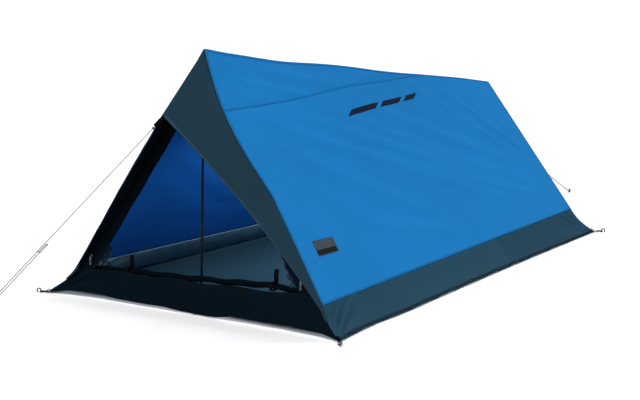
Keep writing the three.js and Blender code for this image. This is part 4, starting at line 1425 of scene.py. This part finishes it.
def ruffle(name, side):
    """Loose gathered net where the door runs up beside its zip."""
    low, high = (0.150, 0.262) if side > 0 else (0.140, 0.200)
    t = np.linspace(0, 1, 60)[None, :]
    w = np.linspace(0, 1, 22)[:, None]
    z = lerp(low, high, t)
    edge = edge_at_height(side, z)
    width = 0.030 * (1 - 0.6 * t) + 0.004 * np.sin(19 * t)
    x = (np.abs(edge[..., 0]) - (0.060 + width * w) * level_share(side)) * side
    y = entrance_y(z) + 0.016
    y = y + 0.009 * np.sin(17 * w + 5 * t) * (0.4 + 0.6 * t) + 0.006 * np.sin(23 * t + 3 * w)
    rows = np.stack(np.broadcast_arrays(x, y, z + 0.004 * np.sin(13 * w)), axis=-1)
    return cloth(f"ruffle_{name}", rows, LOOKS["loose_net"], thickness=0.0004)


def add_tie(name, centres, way):
    """A webbing strap round the roll, with a loose tail that stands up behind it."""
    centre = middle(f"door_tie_{name}")
    k = int(np.argmin(np.abs(centres[:, 0] - centre[0])))
    along = way[k]
    across = unit(np.cross(along, (0, 0, 1)))
    upward = np.cross(across, along)
    ring = []
    for j in range(40):
        a = 2 * math.pi * j / 40
        ring.append(centre + (across * math.cos(a) * 1.05 + upward * math.sin(a) * 0.96) * 0.0160)
    ring = np.array(ring)
    out = unit(ring - centre)
    section = flat_section(0.013, WEBBING)
    strap = sweep(f"tie_ring_{name}", ring, along, out, section, LOOKS["webbing"], closed=True)
    offsets = ((0.0172, 0.002), (0.0185, 0.020), (0.0160, 0.040), (0.0205, 0.056))
    tail_line = smooth_line([centre - across * back + upward * rise for back, rise in offsets], 16)
    facing = np.cross(along, tangents(tail_line))
    tail = sweep(f"tie_tail_{name}", tail_line, along, facing, flat_section(0.018, WEBBING), LOOKS["webbing"])
    tie = join(f"roll_tie_{name}", [strap, tail])
    place_piece(tie, "tent", [f"door_tie_{name}"])


# ---- Poles ----
def tube_profile(inner, outer, low, high, ease=0.0005):
    lower = [(inner, low), (outer - ease, low), (outer, low + ease)]
    return lower + [(outer, high - ease), (outer - ease, high), (inner, high)]


def add_pole(name, sections):
    lower_low, lower_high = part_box(f"{name}_pole_lower")
    centre = (lower_low + lower_high) / 2
    radius = (lower_high.x - lower_low.x) / 2
    for section in sections:
        node = f"{name}_pole_{section}"
        low, high = (c.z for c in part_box(node))
        pole = lathe(f"{node}_tube", centre, tube_profile(0.0026, radius, low, high), LOOKS["pole"])
        place_piece(pole, "tent", [node])
    for k in range(len(sections) - 1):
        node = f"{name}_pole_ferrule_{k + 1}"
        low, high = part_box(node)
        outer = (high.x - low.x) / 2
        inner = radius + 0.0004
        profile = [(inner, low.z), (outer - 0.0004, low.z), (outer, low.z + 0.0006)]
        for crimp in (low.z + 0.008, high.z - 0.008):
            profile += [(outer, crimp - 0.0012), (outer - 0.0007, crimp), (outer, crimp + 0.0012)]
        profile += [(outer, high.z - 0.0006), (outer - 0.0004, high.z), (inner, high.z)]
        ferrule = lathe(f"{node}_sleeve", centre, profile, LOOKS["ferrule"])
        place_piece(ferrule, "tent", [node])
    low, high = (c.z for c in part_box(f"{name}_pole_foot"))
    profile = [(0.0, low), (0.0058, low), (0.0065, low + 0.0012)]
    for rib in np.linspace(low + 0.005, high - 0.006, 4):
        profile += [(0.0065, rib - 0.0008), (0.0059, rib), (0.0065, rib + 0.0008)]
    profile += [(0.0062, high - 0.0004), (0.0044, high), (0.0044, low + 0.006), (0.0, low + 0.006)]
    foot = lathe(f"{name}_pole_boot", centre, profile, LOOKS["plastic"])
    place_piece(foot, "tent", [f"{name}_pole_foot"])
    low, high = (c.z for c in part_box(f"{name}_pole_pocket"))
    profile = [(0.0, high), (0.0050, high), (0.0062, high - 0.0012), (0.0060, high - 0.010)]
    profile += [(0.0064, low + 0.002), (0.0062, low), (0.0045, low)]
    profile += [(0.0045, high - 0.0024), (0.0, high - 0.0024)]
    pocket = lathe(f"{name}_pole_sleeve", centre, profile, LOOKS["webbing"])
    place_piece(pocket, "tent", [f"{name}_pole_pocket"])
    assign(frame["nodes"][f"{name}_shock_cord"], LOOKS["shock"])


# ---- Pegs, corner loops and guy loops ----
PEG_RADIUS = 0.0025


def add_peg(name):
    """A round steel pin: pointed below, turned over into a hook above."""
    node = f"peg_{name}"
    axis = joint_axis(node)
    tip = extreme(node, -axis)
    away = unit(np.array((axis[0], axis[1], 0)))
    hook_way = unit(away - axis * (away @ axis))
    points = vertices(node)
    near_tip = points[(points - tip) @ axis < 0.004]
    foot = near_tip.mean(0)
    top = ((points - foot) @ axis).max() - PEG_RADIUS - PEG_HOOK_RADIUS
    straight = [foot + axis * t for t in (0.0005, 0.004, 0.009, 0.016, 0.06, 0.11, top)]
    bend = []
    for k in range(1, 15):
        a = math.pi * k / 14
        rise, reach = PEG_HOOK_RADIUS * math.sin(a), PEG_HOOK_RADIUS * (1 - math.cos(a))
        bend.append(foot + axis * (top + rise) + hook_way * reach)
    end = [bend[-1] - axis * t for t in (0.004, 0.0065)]
    line = np.array(straight + bend + end)
    scales = np.ones(len(line))
    scales[:4] = (0.12, 0.5, 0.85, 1.0)
    scales[-1] = 0.75
    pin = tube(f"pin_{name}", line, PEG_RADIUS, LOOKS["steel"], 14, scales)
    place_piece(pin, node, [node])


CORNER_LOOP = (0.031, 0.0125)  # length and width of the strap's loop round a corner peg
GUY_LOOP = (0.0445, 0.0075)  # and of the one that a guyline is tied to


def stadium_line(centre, way, across, length, width, per_bend=10, per_side=6):
    """A loop with straight sides and round ends."""
    r = width / 2
    half = length / 2 - r
    points = []
    for sign in (1, -1):
        for k in range(per_bend):
            a = -math.pi / 2 + math.pi * k / per_bend
            points.append(centre + sign * (way * (half + r * math.cos(a)) + across * r * math.sin(a)))
        for k in range(per_side):
            t = half - 2 * half * k / per_side
            points.append(centre + sign * (way * t + across * r))
    return np.array(points)


def add_corner_loop(name, side, rear):
    """A narrow strap round the peg and the tab by which it is sewn to the skirt's corner."""
    node = f"peg_loop_{name}"
    centre = middle(node)
    hem = (HEM_REAR if rear else HEM_FRONT)[side]
    way = unit(np.array((centre[0] - hem[0], centre[1] - hem[1], 0)))
    across = np.cross((0, 0, 1.0), way)
    line = stadium_line(centre - np.array((0, 0, 0.0020)), way, across, *CORNER_LOOP)
    outward = unit(np.cross(tangents(line, closed=True), (0, 0, 1)))
    section = [(-0.0008, 0), (0.0008, 0), (0.0008, 0.0040), (-0.0008, 0.0040)]
    loop = sweep(f"{node}_strap", line, outward, (0, 0, 1.0), section, LOOKS["webbing"], closed=True)
    seam = (SEAM_REAR if rear else SEAM_FRONT)[side]
    up = unit(seam - hem)
    inward = np.array((-side * 0.001, 0.0, 0.0))
    start, bend = centre - way * 0.010, hem + way * 0.001 + np.array((0, 0, 0.003))
    tab_line = smooth_line([start, bend, hem + up * 0.022 + way * 0.0012 + inward], 14)
    facing = np.cross(tangents(tab_line), across)
    tab = sweep(f"{node}_tab", tab_line, across, facing, flat_section(0.012, WEBBING), LOOKS["webbing"])
    whole = join(f"corner_strap_{name}", [loop, tab])
    place_piece(whole, "tent", [node])


def add_guy_loop(name):
    node = f"guy_loop_{name}"
    centre = middle(node)
    start = np.array(GUYS[name]["start"], float)
    way = unit(start - centre)
    upward = np.cross((1.0, 0, 0), way)
    line = stadium_line(centre, way, upward, *GUY_LOOP)
    outward = unit(np.cross(tangents(line, closed=True), (1.0, 0, 0)))
    section = [(-0.006, -0.0007), (0.006, -0.0007), (0.006, 0.0007), (-0.006, 0.0007)]
    loop = sweep(f"guy_strap_{name}", line, (1.0, 0, 0), outward, section, LOOKS["webbing"], closed=True)
    place_piece(loop, "tent", [node])


# ---- Seams, tapes, print and label ----
PANEL_SEAM = {"counts": (260, 3), "lift": 0.0010, "thickness": 0.0012}


def panel_surface(side, u, v):
    """The wall beside the line where its upper panel is joined in, v being the distance from that line."""
    return wall_surface(side, u, lerp(PANEL_LINE[1], 0.004, u / PANEL_LINE[2]) + v)


def add_seams():
    for name, side in SIDES.items():
        wall, skirt = partial(wall_surface, side), partial(skirt_surface, side)
        for part, surface, u_range, v_range, sizes in (
            ("seam", wall, (0, 1), (0.991, 1.0), {"counts": (230, 3)}),
            ("front_binding", wall, (0, 0.004), (0.004, 1), {"across_u": True}),
            ("rear_binding", wall, (0.996, 1), (0.004, 1), {"across_u": True}),
            ("ridge_seam", wall, (0, 1), (0.006, 0.014), {"counts": (230, 3)}),
            ("panel_seam", partial(panel_surface, side), (0, 0.71), (-0.0035, 0.0035), PANEL_SEAM),
        ):
            strip_on(f"{part}_{name}", surface, u_range, v_range, LOOKS["roof_seam"], "roof_fabric", **sizes)
        hem = {"counts": (230, 4), "lift": 0.0005}
        strip_on(f"skirt_hem_{name}", skirt, (0, 1), (0.90, 1.0), LOOKS["skirt_seam"], "skirt_fabric", **hem)
    node = "ridge_tape"
    low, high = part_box(node)
    ends = [np.array((0, low.y, high.z)), np.array((0, high.y, low.z))]
    line = np.array([lerp(ends[0], ends[1], k / 40) for k in range(41)])
    line[:, 2] -= 0.006 * bow(np.linspace(0, 1, 41))
    tape = sweep("ridge_strap", line, (1.0, 0, 0), (0, 0, 1.0), flat_section(0.012, 0.0012), LOOKS["webbing"])
    place_piece(tape, "tent", [node])


# Each dash from end to end, as shares along the wall and down it, then its half height and slant.
PRINT_DASHES = [
    ((0.365, 0.248), (0.475, 0.205)),
    ((0.495, 0.197), (0.575, 0.166)),
    ((0.595, 0.158), (0.640, 0.141)),
]
DASH_HALF = 0.018
DASH_SLANT = 0.012
LABEL_ALONG = (0.050, 0.113)
LABEL_DOWN = (0.772, 0.832)


def add_prints():
    """Plain slanted dashes printed on each wall, and a two-tone woven label low at the front of the right."""
    for name, side in SIDES.items():
        parts = []
        for k, (start, end) in enumerate(PRINT_DASHES):
            t = np.linspace(0, 1, 24)[None, :]
            w = np.linspace(-1, 1, 7)[:, None]
            u = lerp(start[0], end[0], t) - DASH_SLANT * w
            v = lerp(start[1], end[1], t) + DASH_HALF * w
            points, normals = wall_surface(side, u, v)
            raised = points + normals * 0.0004
            parts.append(cloth(f"dash_{name}_{k}", raised, LOOKS["print"], thickness=0.0005))
        dashes = join(f"wall_print_{name}", [apply_modifiers(o) for o in parts])
        place_piece(dashes, "tent")
    u = np.linspace(*LABEL_ALONG, 30)[None, :]
    v = np.linspace(*LABEL_DOWN, 20)[:, None]
    points, normals = wall_surface(1, u, v)
    label = cloth("side_label", points + normals * 0.0009, LOOKS["label"], thickness=0.0009)
    place_piece(label, "tent")


add_canopy()
add_skirts()
add_hood()
add_entrance()
add_rear_wall()
add_rear_skirt()
add_groundsheet()
add_rolled_door()
add_pole("front", ["lower", "middle", "upper"])
add_pole("rear", ["lower", "upper"])
for peg_name in ("front_left", "front_right", "rear_left", "rear_right", "guy_front", "guy_rear"):
    add_peg(peg_name)
for loop_name, loop_side, at_rear in (
    ("front_left", -1, False),
    ("front_right", 1, False),
    ("rear_left", -1, True),
    ("rear_right", 1, True),
):
    add_corner_loop(loop_name, loop_side, at_rear)
for guy_name in GUYS:
    add_guy_loop(guy_name)
add_seams()
add_prints()


# ---- Light, floor and the world ----
def add_floor():
    look = Look("pale_floor", 0.9)
    tone = look.noise(look.place("Object"), 0.6, 2.0)
    finish = look.finish(look.ramp(tone, [(0.0, (0.92, 0.92, 0.92)), (1.0, (0.94, 0.94, 0.94))]))
    size = 60
    corners = [(-size, -size, 0), (size, -size, 0), (size, size, 0), (-size, size, 0)]
    floor = make_object("floor", corners, [(0, 1, 2, 3)], [finish])


SKY_FADE = (0.16, 0.36)  # the heights, from 0 at the horizon to 1 overhead, between which the sky fades
SKY_STRENGTH = (1.05, 0.40)


def add_lamp(name, kind, place, turn, **settings):
    data = bpy.data.lights.new(name, kind)
    for key, value in settings.items():
        setattr(data, key, value)
    lamp = add_object(name, data)
    lamp.location = place
    lamp.rotation_euler = turn
    return lamp


def add_lights():
    world = bpy.data.worlds.new("studio")
    world.use_nodes = True
    nodes, link = world.node_tree.nodes, world.node_tree.links.new
    nodes["Background"].inputs["Color"].default_value = (1.0, 1.0, 1.0, 1)
    # white round the horizon, softer overhead
    height = nodes.new("ShaderNodeSeparateXYZ")
    link(nodes.new("ShaderNodeTexCoord").outputs["Generated"], height.inputs[0])
    fade = nodes.new("ShaderNodeMapRange")
    for socket, value in zip(fade.inputs[1:5], (*SKY_FADE, *SKY_STRENGTH)):
        socket.default_value = value
    link(height.outputs["Z"], fade.inputs["Value"])
    link(fade.outputs["Result"], nodes["Background"].inputs["Strength"])
    bpy.context.scene.world = world
    # far, wide lamps: they light the whole floor alike; the strengths are in watts per square metre
    for name, place, strength, spread in (
        ("key", (-1.0, -4.0, 5.5), 2.75, 0.36),
        ("side", (3.0, 5.0, 4.5), 1.0, 0.30),
    ):
        turn = (Vector((0, 0, 0.3)) - Vector(place)).to_track_quat("-Z", "Y").to_euler()
        add_lamp(name, "SUN", place, turn, energy=strength, angle=spread)
    # a lamp inside stands in for the daylight that thin walls let through, which the cloth here doesn't
    slope = math.atan2(FRONT_PEAK[2] - REAR_PEAK[2], WALL_LENGTH)
    size = {"shape": "RECTANGLE", "size": 0.10, "size_y": 1.7}
    lamp = add_lamp("through_cloth", "AREA", (0.0, 0.0, 0.50), (-slope, 0, 0), energy=9.5, **size)
    lamp.visible_camera = False
    bpy.context.scene.view_settings.view_transform = "Standard"


add_floor()
add_lights()
